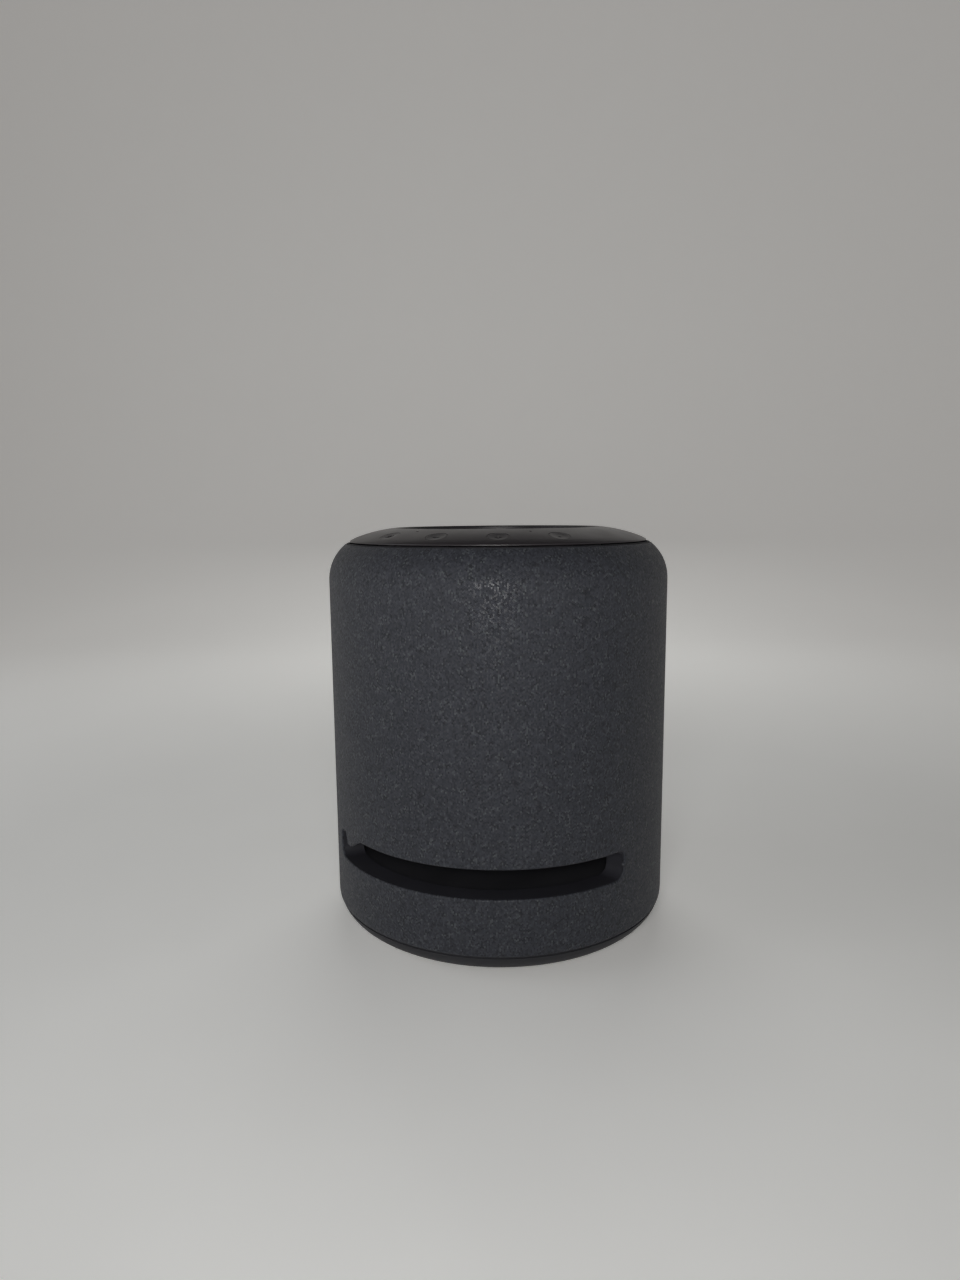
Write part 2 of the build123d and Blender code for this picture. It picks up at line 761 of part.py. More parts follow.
mid_basket = lathe([
    (mid_flange_inner, mid_front),
    (mid_radius, mid_front),
    (mid_radius, 0),
    (mid_flange_inner + 2 * mid_basket_sheet, 0),
    (mid_basket_back_radius + mid_basket_sheet, mid_back),
    (mid_plate_bore, mid_back),
    (mid_plate_bore, mid_seat),
    (mid_basket_back_radius, mid_seat),
])
mid_window = block(
    -mid_window_width / 2, mid_window_width / 2, -mid_radius, -mid_plate_bore,
    mid_seat + mid_basket_sheet, -2 * mid_basket_sheet,
)
mid_basket -= [Rot(0, 0, azimuth) * mid_window for azimuth in driver_screw_azimuths]
mid_basket -= drills(small_hole, 0, mid_front, mid_screw_circle, driver_screw_azimuths)

mid_motor = lathe([
    (0, mid_motor_back),
    (mid_motor_radius, mid_motor_back),
    (mid_motor_radius, mid_back),
    (mid_plate_bore, mid_back),
    (mid_plate_bore, mid_back - mid_plate_thickness),
    (mid_motor_radius - mid_plate_thickness, mid_back - mid_plate_thickness),
    (mid_motor_radius - mid_plate_thickness, mid_motor_back + mid_plate_thickness),
    (mid_pole, mid_motor_back + mid_plate_thickness),
    (mid_pole, mid_back),
    (0, mid_back),
])

mid_cone = lathe([
    (mid_cone_outer, mid_front),
    (mid_cone_inner, mid_front),
    (mid_coil_radius, mid_neck),
    (mid_coil_radius, mid_neck - mid_coil_length),
    (mid_coil_outer, mid_neck - mid_coil_length),
    (mid_coil_outer, mid_neck - mid_cone_skin),
    (mid_cone_inner, mid_front - mid_cone_skin),
    (mid_cone_outer, mid_front - mid_cone_skin),
])
mid_cone += dome(mid_coil_outer, mid_cap_height, mid_cone_skin, mid_neck)

mid_surround = Pos(0, 0, mid_front) * half_roll(
    mid_cone_inner, mid_roll_inner, mid_roll_outer, mid_surround_radius, mid_rubber
)

cup_inner = mid_radius + fit_clearance
cup_outer = cup_inner + cup_wall
cup_floor = mid_motor_back - cup_spare


def back_cup(rim):
    """Cup that closes the back of a midrange driver, open up to a rim height."""
    return rod(cup_outer, cup_floor - cup_wall, rim) - rod(cup_inner, cup_floor, rim)


mid_boss_outer = cup_outer + mid_boss_wall - cup_wall
mid_boss_bore = mid_surround_radius + fit_clearance
mid_plane = sqrt(housing_inner**2 - mid_boss_outer**2) - driver_boss_depth - mid_front
mid_height = ledge_bottom - cup_outer - cup_spare
left_mid = facing(-90, mid_plane, mid_height)
right_mid = facing(90, mid_plane, mid_height)
top_mid = Pos(0, 0, deck_top)
for side, place in (("left", left_mid), ("right", right_mid), ("top", top_mid)):
    parts[f"{side}_midrange_basket"] = place * mid_basket
    parts[f"{side}_midrange_motor"] = place * mid_motor
    parts[f"{side}_midrange_cone"] = place * mid_cone
    parts[f"{side}_midrange_surround"] = place * mid_surround
parts["midrange_back_cups"] = Compound([
    left_mid * back_cup(mid_front),
    right_mid * back_cup(mid_front),
    top_mid * back_cup(-deck_thickness),
])

# Tweeter, drawn facing up with the back of its plate on z = 0

dome_bore = tweeter_dome_radius + tweeter_dome_gap
tweeter_coil_outer = tweeter_dome_radius - tweeter_dome_skin
tweeter_coil_inner = tweeter_coil_outer - tweeter_coil_wall
tweeter_pole = tweeter_coil_inner - tweeter_dome_gap
tweeter_gap_outer = tweeter_coil_outer + tweeter_dome_gap
tweeter_front = tweeter_plate_thickness
dome_base = tweeter_dome_skin

tweeter_plate = lathe([
    (dome_bore, 0),
    (tweeter_radius, 0),
    (tweeter_radius, tweeter_front),
    (dome_bore + tweeter_flare, tweeter_front),
    (dome_bore, tweeter_bore_edge),
])
tweeter_plate -= drills(small_hole, 0, tweeter_front, tweeter_screw_circle, driver_screw_azimuths)
tweeter = {"tweeter_plate": tweeter_plate}
tweeter["tweeter_dome"] = dome(tweeter_dome_radius, tweeter_dome_height, tweeter_dome_skin, dome_base)
tweeter["tweeter_dome"] += ring(
    tweeter_coil_inner, tweeter_coil_outer, -tweeter_coil_length, dome_base + tweeter_dome_skin / 2
)
tweeter["tweeter_motor"] = lathe([
    (0, -tweeter_motor_depth),
    (tweeter_motor_radius, -tweeter_motor_depth),
    (tweeter_motor_radius, 0),
    (tweeter_gap_outer, 0),
    (tweeter_gap_outer, -tweeter_motor_wall),
    (tweeter_motor_radius - tweeter_motor_wall, -tweeter_motor_wall),
    (tweeter_motor_radius - tweeter_motor_wall, tweeter_motor_wall - tweeter_motor_depth),
    (tweeter_pole, tweeter_motor_wall - tweeter_motor_depth),
    (tweeter_pole, -tweeter_dome_skin),
    (0, -tweeter_dome_skin),
])
tweeter_boss_outer = tweeter_radius + tweeter_boss_wall
tweeter_plane = sqrt(housing_inner**2 - tweeter_boss_outer**2) - driver_boss_depth - tweeter_front
tweeter_place = facing(0, tweeter_plane, mid_height)
parts.update({name: tweeter_place * piece for name, piece in tweeter.items()})

mid_screw = screw(small_shank_radius, small_head_radius, small_head_height, mid_front + driver_screw_bite)
top_screw_length = mid_front + deck_thickness - fit_clearance
top_screw = screw(small_shank_radius, small_head_radius, small_head_height, top_screw_length)
tweeter_screw_length = tweeter_front + driver_screw_bite
tweeter_screw = screw(small_shank_radius, small_head_radius, small_head_height, tweeter_screw_length)
driver_screws = []
for azimuth in driver_screw_azimuths:
    spot = around(mid_screw_circle, azimuth)
    driver_screws += [left_mid * spot * mid_screw, right_mid * spot * mid_screw]
    driver_screws.append(top_mid * spot * Pos(0, 0, mid_front) * Rot(180, 0, 0) * top_screw)
    driver_screws.append(tweeter_place * around(tweeter_screw_circle, azimuth) * tweeter_screw)
parts["driver_screws"] = Compound(driver_screws)

# Upper housing: grille shell with a boss for each small driver and a ledge for the deck


def sound_slots(radius, front):
    """Level slots through the wall in front of a driver, inside a circle."""
    reach = radius - sound_slot_margin
    count = int((reach - sound_slot) // sound_slot_pitch)
    cuts = []
    for row in range(-count, count + 1):
        low = row * sound_slot_pitch - sound_slot / 2
        half = sqrt(reach**2 - (abs(row) * sound_slot_pitch + sound_slot / 2) ** 2)
        cuts.append(block(-half, half, low, low + sound_slot, front, body_radius))
    return cuts


upper_housing = lathe([
    (housing_radius, ceiling_bottom),
    (housing_radius, shoulder_height),
    arc_step(shoulder_centre, shoulder_round - skin_depth, 0, shoulder_angle(skin_depth, gap_radius)),
    (gap_radius, shoulder_z(inner_depth, gap_radius)),
    arc_step(shoulder_centre, shoulder_round - inner_depth, shoulder_angle(inner_depth, gap_radius), 0),
    (housing_inner, ceiling_bottom),
])
inside_shell = rod(housing_inner + housing_wall / 2, 0, shoulder_height + ledge_height)
driver_seats = (
    (left_mid, mid_boss_bore, mid_boss_outer, mid_front, mid_screw_circle),
    (right_mid, mid_boss_bore, mid_boss_outer, mid_front, mid_screw_circle),
    (tweeter_place, tweeter_boss_bore, tweeter_boss_outer, tweeter_front, tweeter_screw_circle),
)
for place, bore, outer, front, circle in driver_seats:
    upper_housing += place * ring(bore, outer, front, body_radius) & inside_shell
    pilot = front + driver_screw_bite + fit_clearance
    pilots = drills(small_pilot, front, pilot, circle, driver_screw_azimuths)
    upper_housing -= [place * hole for hole in pilots]
    upper_housing -= [place * cut for cut in sound_slots(bore, front)]
upper_housing += ring(gap_radius - ledge_width, housing_inner + housing_wall / 2, ledge_bottom, deck_bottom)
boss_top = baffle_top + housing_boss_height
housing_bosses = drills(column_radius, baffle_top, boss_top, column_circle, column_azimuths)
upper_housing += [boss & inside_shell for boss in housing_bosses]
housing_screw_end = baffle_top + housing_screw_bite + fit_clearance
upper_housing -= drills(screw_pilot, baffle_top, housing_screw_end, column_circle, column_azimuths)
parts["upper_housing"] = upper_housing

# Fabric sleeve over both housings, cut at the bass slot and at the port panel

fabric_low = bottom_angle(0, fabric_bottom)
fabric_low_inner = bottom_angle(fabric_thickness, fabric_bottom)
fabric_high = shoulder_angle(0, gap_radius)
fabric_high_inner = shoulder_angle(fabric_thickness, gap_radius)
fabric_sleeve = lathe([
    polar_point(bottom_centre, bottom_round, fabric_low),
    arc_step(bottom_centre, bottom_round, fabric_low, 0),
    (body_radius, shoulder_height),
    arc_step(shoulder_centre, shoulder_round, 0, fabric_high),
    polar_point(shoulder_centre, shoulder_round - fabric_thickness, fabric_high_inner),
    arc_step(shoulder_centre, shoulder_round - fabric_thickness, fabric_high_inner, 0),
    polar_point(bottom_centre, bottom_round - fabric_thickness, 0),
    arc_step(bottom_centre, bottom_round - fabric_thickness, 0, fabric_low_inner),
])
fabric_sleeve -= slot_cutter(housing_radius - trim_depth, body_radius + trim_depth)
fabric_sleeve -= block(
    -panel_half - fit_clearance, panel_half + fit_clearance, panel_back, body_radius,
    panel_bottom - fit_clearance, panel_top + fit_clearance,
)
parts["fabric_sleeve"] = fabric_sleeve

# Top deck and button board

top_hole = mid_flange_inner + 2 * mid_basket_sheet + fit_clearance
ribbon_gap = block(
    -ribbon_width / 2 - lead_clearance, ribbon_width / 2 + lead_clearance,
    lead_y - ribbon_thickness / 2 - lead_clearance, lead_y + ribbon_thickness / 2 + lead_clearance,
    deck_bottom, deck_top,
)
top_deck = ring(top_hole, gap_radius - edge_gap, deck_bottom, deck_top)
top_deck += drills(post_radius, deck_top, board_bottom, post_circle, post_azimuths)
top_deck -= drills(small_pilot, deck_bottom, deck_top, mid_screw_circle, driver_screw_azimuths)
top_deck -= ribbon_gap
parts["top_deck"] = top_deck

board_inner = rim_wall_outer + edge_gap
parts["button_board"] = ring(board_inner, gap_radius - edge_gap, board_bottom, board_top)
led = block(-led_width / 2, led_width / 2, -led_width / 2, led_width / 2, 0, led_height)
light_circle = (light_inner + light_outer) / 2
parts["light_chips"] = Compound([
    around(light_circle, index * 360 / led_count, board_top) * led for index in range(led_count)
])
microphone = Pos(0, 0, microphone_size[2] / 2) * Box(*microphone_size)
parts["microphones"] = Compound([
    around(microphone_circle, azimuth, board_top) * microphone for azimuth in microphone_azimuths
])

# Light ring and top ring

light_top = ring_outline(light_recess, light_inner, light_outer)
light_start = shoulder_angle(light_recess, light_outer)
light_stop = shoulder_angle(light_recess, light_inner)
light_low = board_top + led_height + edge_gap
parts["light_ring"] = lathe([
    (light_inner, light_low),
    (light_outer, light_low),
    light_top[0],
    arc_step(shoulder_centre, shoulder_round - light_recess, light_start, light_stop),
])

ring_low = board_top + edge_gap
ring_skirt = ring_outer - ring_wall
ring_skirt_angle = shoulder_angle(ring_wall, ring_skirt)
under_round = shoulder_round - ring_wall
top_ring = lathe(
    [(ring_outer, ring_low)]
    + ring_outline(0, rim_radius, ring_outer)
    + [(rim_radius, deck_top), (rim_wall_outer, deck_top)]
    + [ring_outline(ring_wall, rim_wall_outer, ring_skirt)[2]]
    + [polar_point(shoulder_centre, under_round, 90 - ring_slope)]
    + [arc_step(shoulder_centre, under_round, 90 - ring_slope, ring_skirt_angle)]
    + [(ring_skirt, ring_low)]
)
top_ring = fillet(top_ring.edges().sort_by(Axis.Z)[-1], rim_round)
grille_top = overall_height - grille_recess
grille_seat = grille_top - grille_thickness
grille_ledge_low = grille_seat - grille_ledge
top_ring += ring(rim_radius - grille_ledge, rim_radius + ring_wall / 2, grille_ledge_low, grille_seat)
top_ring -= drills(
    microphone_hole_radius, board_top, overall_height, microphone_circle, microphone_azimuths
)

# Buttons: dished caps that follow the ring's face, each held by a flange under the ring

button_z = rim_corner - (button_circle - rim_radius) * tan(slope)
flange_top = -ring_wall - button_flange_drop
flange_bottom = flange_top - button_flange_thickness
stem_tilt = button_stem_radius * tan(slope)
switch_drop = (button_z - board_top - switch_height) / cos(slope)
stem_bottom = -switch_drop + stem_tilt + button_travel + edge_gap
switch_circle = button_circle - (button_z - board_top - switch_height) * tan(slope)
dish_sphere = (button_dish_radius**2 + button_dish**2) / (2 * button_dish)
button_limit = lathe(
    [(ring_outer, board_top)]
    + ring_outline(button_recess, rim_radius, ring_outer)
    + [(rim_radius, board_top)]
)
for name, azimuth in button_azimuths.items():
    place = around(button_circle, azimuth, button_z) * Rot(ring_slope, 0, 0)
    top_ring -= place * rod(button_radius + button_gap, flange_bottom, ring_wall)
    cap = place * rod(button_radius, flange_bottom, ring_wall) & button_limit
    cap += place * rod(button_radius + button_flange, flange_bottom, flange_top)
    cap += place * rod(button_stem_radius, stem_bottom, flange_bottom)
    cap -= place * Pos(0, 0, dish_sphere - button_dish - button_recess) * Sphere(dish_sphere)
    parts[name] = cap
parts["top_ring"] = top_ring
switch = Pos(0, 0, switch_height / 2) * Box(switch_width, switch_width, switch_height)
parts["key_switches"] = Compound([
    around(switch_circle, azimuth, board_top) * switch for azimuth in button_azimuths.values()
])

# Perforated grille in the recess

grille_radius = rim_radius - fit_clearance
row_pitch = grille_pitch * sin(radians(60))
rows = int(grille_radius // row_pitch) + 1
hole_spots = [
    ((column + (row % 2) / 2) * grille_pitch, row * row_pitch)
    for row in range(-rows, rows + 1)
    for column in range(-rows, rows + 1)
]
open_radius = grille_radius - grille_ledge - grille_hole_radius
holes = [Pos(x, y) * Circle(grille_hole_radius) for x, y in hole_spots if x**2 + y**2 < open_radius**2]
grille_sheet = Circle(grille_radius) - holes
parts["top_grille"] = Pos(0, 0, grille_seat) * extrude(grille_sheet, grille_thickness)

# Electronics bracket and boards, upright behind the woofer

power_low = baffle_top + power_board_lift
power_high = power_low + power_board_height
main_high = ledge_bottom - main_board_drop
main_low = power_high + board_gap
standoff_x = circuit_half_width - standoff_inset

bracket = block(
    -bracket_half_width, bracket_half_width, bracket_front, bracket_back, baffle_top, ledge_bottom
)
for low, high in ((power_low, power_high), (main_low, main_high)):
    for height in (low + standoff_inset, high - standoff_inset):
        for x in (-standoff_x, standoff_x):
            bracket += bar(standoff_radius, circuit_back, bracket_front, x, height)
parts["electronics_bracket"] = bracket

main_middle = (main_low + main_high) / 2
shield_front = circuit_front - shield_height
main_board = block(
    -circuit_half_width, circuit_half_width, circuit_front, circuit_back, main_low, main_high
)
main_board += block(
    -shield_size / 2, shield_size / 2, shield_front, circuit_front,
    main_middle - shield_size / 2, main_middle + shield_size / 2,
)
parts["main_board"] = main_board

sink_front = shield_front - heat_sink_base
fin_span = heat_sink_width - heat_sink_fin
heat_sink = block(
    -heat_sink_width / 2, heat_sink_width / 2, sink_front, shield_front,
    main_middle - heat_sink_height / 2, main_middle + heat_sink_height / 2,
)
for fin in range(heat_sink_fins):
    x = fin * fin_span / (heat_sink_fins - 1) - fin_span / 2
    heat_sink += block(
        x - heat_sink_fin / 2, x + heat_sink_fin / 2, sink_front - heat_sink_fin_height, sink_front,
        main_middle - heat_sink_height / 2, main_middle + heat_sink_height / 2,
    )
parts["heat_sink"] = heat_sink

power_board = block(
    -circuit_half_width, circuit_half_width, circuit_front, circuit_back, power_low, power_high
)
transformer_top = power_high - standoff_inset
power_board += block(
    -transformer_size[0] / 2, transformer_size[0] / 2, circuit_front - transformer_size[1], circuit_front,
    transformer_top - transformer_size[2], transformer_top,
)
for side in (-1, 1):
    x = side * (transformer_size[0] / 2 + capacitor_gap + capacitor_radius)
    power_board += Pos(x, circuit_front - capacitor_radius, transformer_top - capacitor_length) * rod(
        capacitor_radius, 0, capacitor_length
    )
    power_board += block(
        x - capacitor_radius, x + capacitor_radius, circuit_front - capacitor_radius, circuit_front,
        transformer_top - capacitor_length, transformer_top,
    )
parts["power_board"] = power_board

# Leads between the sockets and the boards, and flat ribbons between the boards

inlet_top = socket_z + inlet_outer[1] / 2
jack_top = socket_z + jack_body / 2
ribbon_y = (lead_y - ribbon_thickness / 2, lead_y + ribbon_thickness / 2)
parts["internal_leads"] = Compound([
    Pos(inlet_x, lead_y, 0) * rod(mains_lead_radius, inlet_top, power_low),
    Pos(jack_x, lead_y, 0) * rod(audio_lead_radius, jack_top, power_low),
    block(-ribbon_width / 2, ribbon_width / 2, ribbon_y[0], ribbon_y[1], power_high, main_low),
    block(-ribbon_width / 2, ribbon_width / 2, ribbon_y[0], ribbon_y[1], main_high, board_bottom),
])

os.makedirs("parts", exist_ok=True)
for name, shape in parts.items():
    export_step(shape, f"parts/{name}.step")
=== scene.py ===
import math
from collections import namedtuple

import bpy
from mathutils import Matrix, Vector


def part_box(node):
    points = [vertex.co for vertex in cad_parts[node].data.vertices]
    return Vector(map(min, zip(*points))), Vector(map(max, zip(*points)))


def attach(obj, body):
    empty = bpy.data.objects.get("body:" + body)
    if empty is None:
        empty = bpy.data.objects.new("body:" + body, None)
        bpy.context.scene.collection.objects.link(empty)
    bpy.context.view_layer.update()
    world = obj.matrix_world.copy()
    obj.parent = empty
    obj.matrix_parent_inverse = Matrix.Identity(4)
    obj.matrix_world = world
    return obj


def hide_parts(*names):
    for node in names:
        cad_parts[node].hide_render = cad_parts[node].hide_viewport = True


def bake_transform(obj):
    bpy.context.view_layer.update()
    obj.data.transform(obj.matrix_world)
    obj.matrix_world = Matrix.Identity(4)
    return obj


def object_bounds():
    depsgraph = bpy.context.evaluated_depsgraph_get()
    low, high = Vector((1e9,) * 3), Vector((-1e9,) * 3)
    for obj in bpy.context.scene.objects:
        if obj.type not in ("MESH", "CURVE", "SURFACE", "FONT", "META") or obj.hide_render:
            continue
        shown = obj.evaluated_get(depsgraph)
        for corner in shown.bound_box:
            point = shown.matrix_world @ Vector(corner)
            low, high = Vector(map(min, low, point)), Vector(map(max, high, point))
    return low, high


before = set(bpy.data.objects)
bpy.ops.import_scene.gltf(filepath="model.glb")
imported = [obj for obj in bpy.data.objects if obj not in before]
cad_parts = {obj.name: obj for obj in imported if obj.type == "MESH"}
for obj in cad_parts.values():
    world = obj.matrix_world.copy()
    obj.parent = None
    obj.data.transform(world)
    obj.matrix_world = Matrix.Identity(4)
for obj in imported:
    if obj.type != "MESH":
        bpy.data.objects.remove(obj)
cad_low, cad_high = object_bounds()

# Everything below is in metres and degrees. Azimuth 0 is the front (-Y) and grows towards +X.
MM = 0.001
BODY_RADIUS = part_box("fabric_sleeve")[1].x
HEIGHT = cad_high.z

# Outline of the cloth wall: a tucked-in bottom arc, a straight wall and a round shoulder.
BOTTOM_ROUND = 14 * MM
BOTTOM_CENTRE_Z = 16.6 * MM
SHOULDER_ROUND = 23 * MM
SHOULDER_CENTRE_Z = 180.09 * MM
CLOTH_LOW_Z = 13 * MM
CLOTH_TOP_RADIUS = 78.4 * MM
CLOTH_THICKNESS = 0.9 * MM

# Bass slot in the front and port window in the back, both cut through the cloth.
SLOT_LOW_Z = 41 * MM
SLOT_HIGH_Z = 55 * MM
SLOT_HALF_ANGLE = 54.5
SLOT_CORNERS = 2.6 * MM, 5.5 * MM
# The cloth hangs in a fold at the slot's upper left end: the edge drops over a short step, stays down for a
# stretch and rises slowly to the right. Places are lengths along the wall from the slot's middle.
FOLD_LEFT = -74.4 * MM
FOLD_STEP = 1.2 * MM
FOLD_STAY = 3 * MM
FOLD_RIGHT = -58 * MM
FOLD_DROP = 5.6 * MM
# Points this close to the slot's upper edge move with the fold.
FOLD_REACH = 1 * MM
# The slot's right end, beyond this place, has a small nick.
NICK_FROM = 80 * MM
NICK_Z = 48.2 * MM
NICK_HALF = 1.1 * MM
NICK_DEPTH = 1.1 * MM
PORT_HALF_WIDTH = 23.2 * MM
PORT_LOW_Z = 17.3 * MM
PORT_HIGH_Z = 34.7 * MM
PORT_CORNERS = 2.4 * MM, 2.4 * MM
# Contacts in the rear sockets: two round pins in the power inlet and the tongue of the service port.
SOCKET_Z = 26 * MM
SOCKET_FLOOR_Y = 68 * MM
INLET_PIN_X = -14.3 * MM, -5.7 * MM
INLET_PIN_RADIUS = 1.25 * MM
INLET_PIN_TIP_Y = 77.1 * MM
TONGUE_X = 15.5 * MM
TONGUE_HALF = 2.5 * MM, 0.4 * MM
TONGUE_TIP_Y = 79.0 * MM
TONGUE_ROOT_Y = 73.9 * MM
CONTACT_EDGE = 0.3 * MM

# Top ring: the shoulder's arc runs into a crowned slope that rises to a sharp rim, with a wall down to the
# grille. RING_SLOPE is the straight slope of the frame. The crown leaves the shoulder steeper by CROWN_TURN.
RING_RADIUS = 76.7 * MM
RING_SLOPE = math.radians(12.5)
CROWN_TURN = math.radians(8)
RING_SKIN = 0.7 * MM
RIM_RADIUS = 53 * MM
RIM_ROUND = 0.8 * MM
# Push buttons in the ring and the pinholes of the microphones.
BUTTON_CIRCLE = 68.5 * MM
BUTTON_RADIUS = 5 * MM
BUTTON_HOLE = 5.12 * MM
BUTTON_RECESS = 0.12 * MM
BUTTON_DISH = 0.3 * MM
BUTTON_DISH_RADIUS = 4.2 * MM
BUTTON_EDGE = 0.15 * MM
BUTTON_HOLE_EDGE = 0.1 * MM
# Radius of a cap's flange, and the heights of its upper and lower face under the ring's slope.
BUTTON_FLANGE = 6.2 * MM, -3.4 * MM, -4.4 * MM
BUTTON_STEM = 1.5 * MM
BUTTON_AZIMUTHS = {"mute": -36, "volume_down": -12, "volume_up": 12, "action": 36}
LIGHT_INNER = 76.9 * MM
MICROPHONE_CIRCLE = 61 * MM
MICROPHONE_HOLE = 0.6 * MM
MICROPHONE_HOLE_EDGE = 0.15 * MM
MICROPHONE_AZIMUTHS = 26, 77, 128, 180, 232, -77, -26

# Camera of the photograph, about the object's axis.
VIEW_AZIMUTH = 11.8
VIEW_DISTANCE = 443.2 * MM
VIEW_HEIGHT = 213.3 * MM
VIEW_PITCH = 8.603
VIEW_YAW = -1.24
VIEW_ROLL = -0.488
FOCAL_PIXELS = 840.0
IMAGE_LONG_SIDE = 1280
SENSOR = 36.0
NEAR_CLIP = 0.01

# Studio sweep: front and back of its floor, half its width, the wall's top and the cove's radius.
SWEEP_FRONT = -3.0
SWEEP_BACK = 1.5
SWEEP_HALF_WIDTH = 3.0
SWEEP_TOP = 1.4
SWEEP_COVE = 0.6
COVE_STEPS = 16
PAPER_MOTTLE = 0.06
# How much brighter the paper shows than it reflects onto the object. It also glows in view, more so from one
# distance to another, and by a factor more where something mirrors it.
PAPER_GAIN = 3.0
NEAR_GLOW = 0.13
FAR_GLOW = 0.28
GLOW_DISTANCES = 0.35, 1.3
MIRRORED_GLOW = 1.6

# Lamps, placed in the camera's bearing, right, away and up, and aimed at a height on the object's axis.
Lamp = namedtuple("Lamp", "place aim_z size power colour mirrored")
LAMPS = {
    "key_light": Lamp((-0.02, -0.49, 0.232), 0.4, 0.16, 1.05, (1.0, 0.985, 0.97), True),
    "left_fill": Lamp((-1.0, -0.2, 0.35), HEIGHT / 2, 0.9, 1.75, (0.97, 0.98, 1.0), True),
    "right_fill": Lamp((1.0, -0.2, 0.35), HEIGHT / 2, 0.9, 0.2, (0.97, 0.98, 1.0), True),
    "back_fill": Lamp((0.0, 0.85, 0.75), HEIGHT / 2, 0.9, 2.4, (1.0, 0.99, 0.97), False),
}
# Brightness of the sky as light, and as background near the horizon and overhead. The background fades between
# two heights of the line of sight, given as sines.
SKY_COLOUR = 0.96, 0.98, 1.0, 1.0
SKY_LIGHT = 0.023
SKY_SHOWN = 0.32
SKY_OVERHEAD = 0.06
SKY_FADE = 0.25, 0.65


def linear(red, green, blue):
    """Linear colour, with alpha, of an sRGB colour written from 0 to 255."""
    scaled = [value / 255 for value in (red, green, blue)]
    lin = [s / 12.92 if s <= 0.04045 else ((s + 0.055) / 1.055) ** 2.4 for s in scaled]
    return (*lin, 1.0)


def shade(colour, factor):
    """The same colour, lighter or darker by a factor."""
    return (*[channel * factor for channel in colour[:3]], 1.0)


# Node graphs


class Graph:
    """A material's node tree with one Principled shader, and short calls that add to it."""

    def __init__(self, name):
        self.material = bpy.data.materials.new(name)
        self.material.use_nodes = True
        self.tree = self.material.node_tree
        self.tree.nodes.clear()
        self.shader = self.node("ShaderNodeBsdfPrincipled")
        output = self.node("ShaderNodeOutputMaterial")
        self.link(self.shader.outputs[0], output.inputs["Surface"])

    def node(self, kind, settings=None, **inputs):
        made = self.tree.nodes.new(kind)
        for key, value in (settings or {}).items():
            setattr(made, key, value)
        for key, value in inputs.items():
            self.put(made.inputs[key.replace("_", " ")], value)
        return made

    def link(self, source, target):
        self.tree.links.new(source, target)

    def put(self, socket, value):
        if isinstance(value, bpy.types.NodeSocket):
            self.link(value, socket)
        else:
            socket.default_value = value

    def math(self, operation, *values):
        made = self.node("ShaderNodeMath", {"operation": operation})
        for socket, value in zip(made.inputs, values):
            self.put(socket, value)
        return made.outputs[0]

    def noise(self, vector, size, detail=2.0, roughness=0.5):
        """Noise from 0 to 1 whose blobs are about that size."""
        made = self.node(
            "ShaderNodeTexNoise", Vector=vector, Scale=1 / size, Detail=detail, Roughness=roughness
        )
        return made.outputs["Fac"]

    def remap(self, value, low, high, from_low=0.0, from_high=1.0):
        made = self.node("ShaderNodeMapRange", Value=value)
        for index, number in zip((1, 2, 3, 4), (from_low, from_high, low, high)):
            made.inputs[index].default_value = number
        return made.outputs[0]

    def ramp(self, value, *stops):
        made = self.node("ShaderNodeValToRGB", Fac=value)
        points = made.color_ramp.elements
        while len(points) < len(stops):
            points.new(0.5)
        for point, (place, colour) in zip(points, stops):
            point.position = place
            point.color = colour
        return made.outputs["Color"]

    def bump(self, height, distance, strength=1.0, normal=None):
        made = self.node("ShaderNodeBump", Height=height, Distance=distance, Strength=strength)
        if normal is not None:
            self.link(normal, made.inputs["Normal"])
        return made.outputs["Normal"]

    def place(self):
        """Object coordinates, which are metres in the part's frame."""
        return self.node("ShaderNodeTexCoord").outputs["Object"]

    def finish(self, **inputs):
        for key, value in inputs.items():
            self.put(self.shader.inputs[key.replace("_", " ")], value)
        return self.material


# Sizes of the faint clouds and stains in the finishes.
PLASTIC_CLOUD = 18 * MM
METAL_STAIN = 9 * MM
FIBRE_CLOUD = 6 * MM
BOARD_MOTTLE = 7 * MM
BOARD_RELIEF = 0.02 * MM
# Length of one band of Blender's wave texture at scale 1.
WAVE_LENGTH = 0.314


def moulded(name, colour, roughness, grain=0.35 * MM, depth=0.02 * MM, spread=0.12, **inputs):
    """Moulded plastic or rubber: fine spark-eroded grain, faint cloudiness and uneven gloss."""
    g = Graph(name)
    place = g.place()
    cloud = g.noise(place, PLASTIC_CLOUD, detail=4)
    grit = g.noise(place, grain, detail=3, roughness=0.6)
    colour_out = g.ramp(cloud, (0.3, shade(colour, 1 - spread)), (0.7, shade(colour, 1 + spread)))
    mixed = g.math("MULTIPLY_ADD", grit, 0.5, cloud)
    gloss = g.remap(mixed, roughness - 0.06, roughness + 0.06, 0.4, 1.1)
    return g.finish(Base_Color=colour_out, Roughness=gloss, Normal=g.bump(grit, depth), **inputs)


def metal(name, colour, roughness, grain=(0.2 * MM, 0.2 * MM, 3 * MM), depth=0.006 * MM, **inputs):
    """Worked metal: drawn streaks along the longest grain size, with small stains."""
    g = Graph(name)
    stretch = g.node("ShaderNodeMapping", Vector=g.place(), Scale=[1 / size for size in grain])
    streak = g.noise(stretch.outputs[0], 1.0, detail=3)
    stain = g.noise(g.place(), METAL_STAIN, detail=3)
    colour_out = g.ramp(stain, (0.3, shade(colour, 0.82)), (0.7, colour))
    gloss = g.remap(streak, roughness - 0.08, roughness + 0.1, 0.3, 0.7)
    relief = g.bump(streak, depth)
    return g.finish(Base_Color=colour_out, Roughness=gloss, Metallic=1.0, Normal=relief, **inputs)


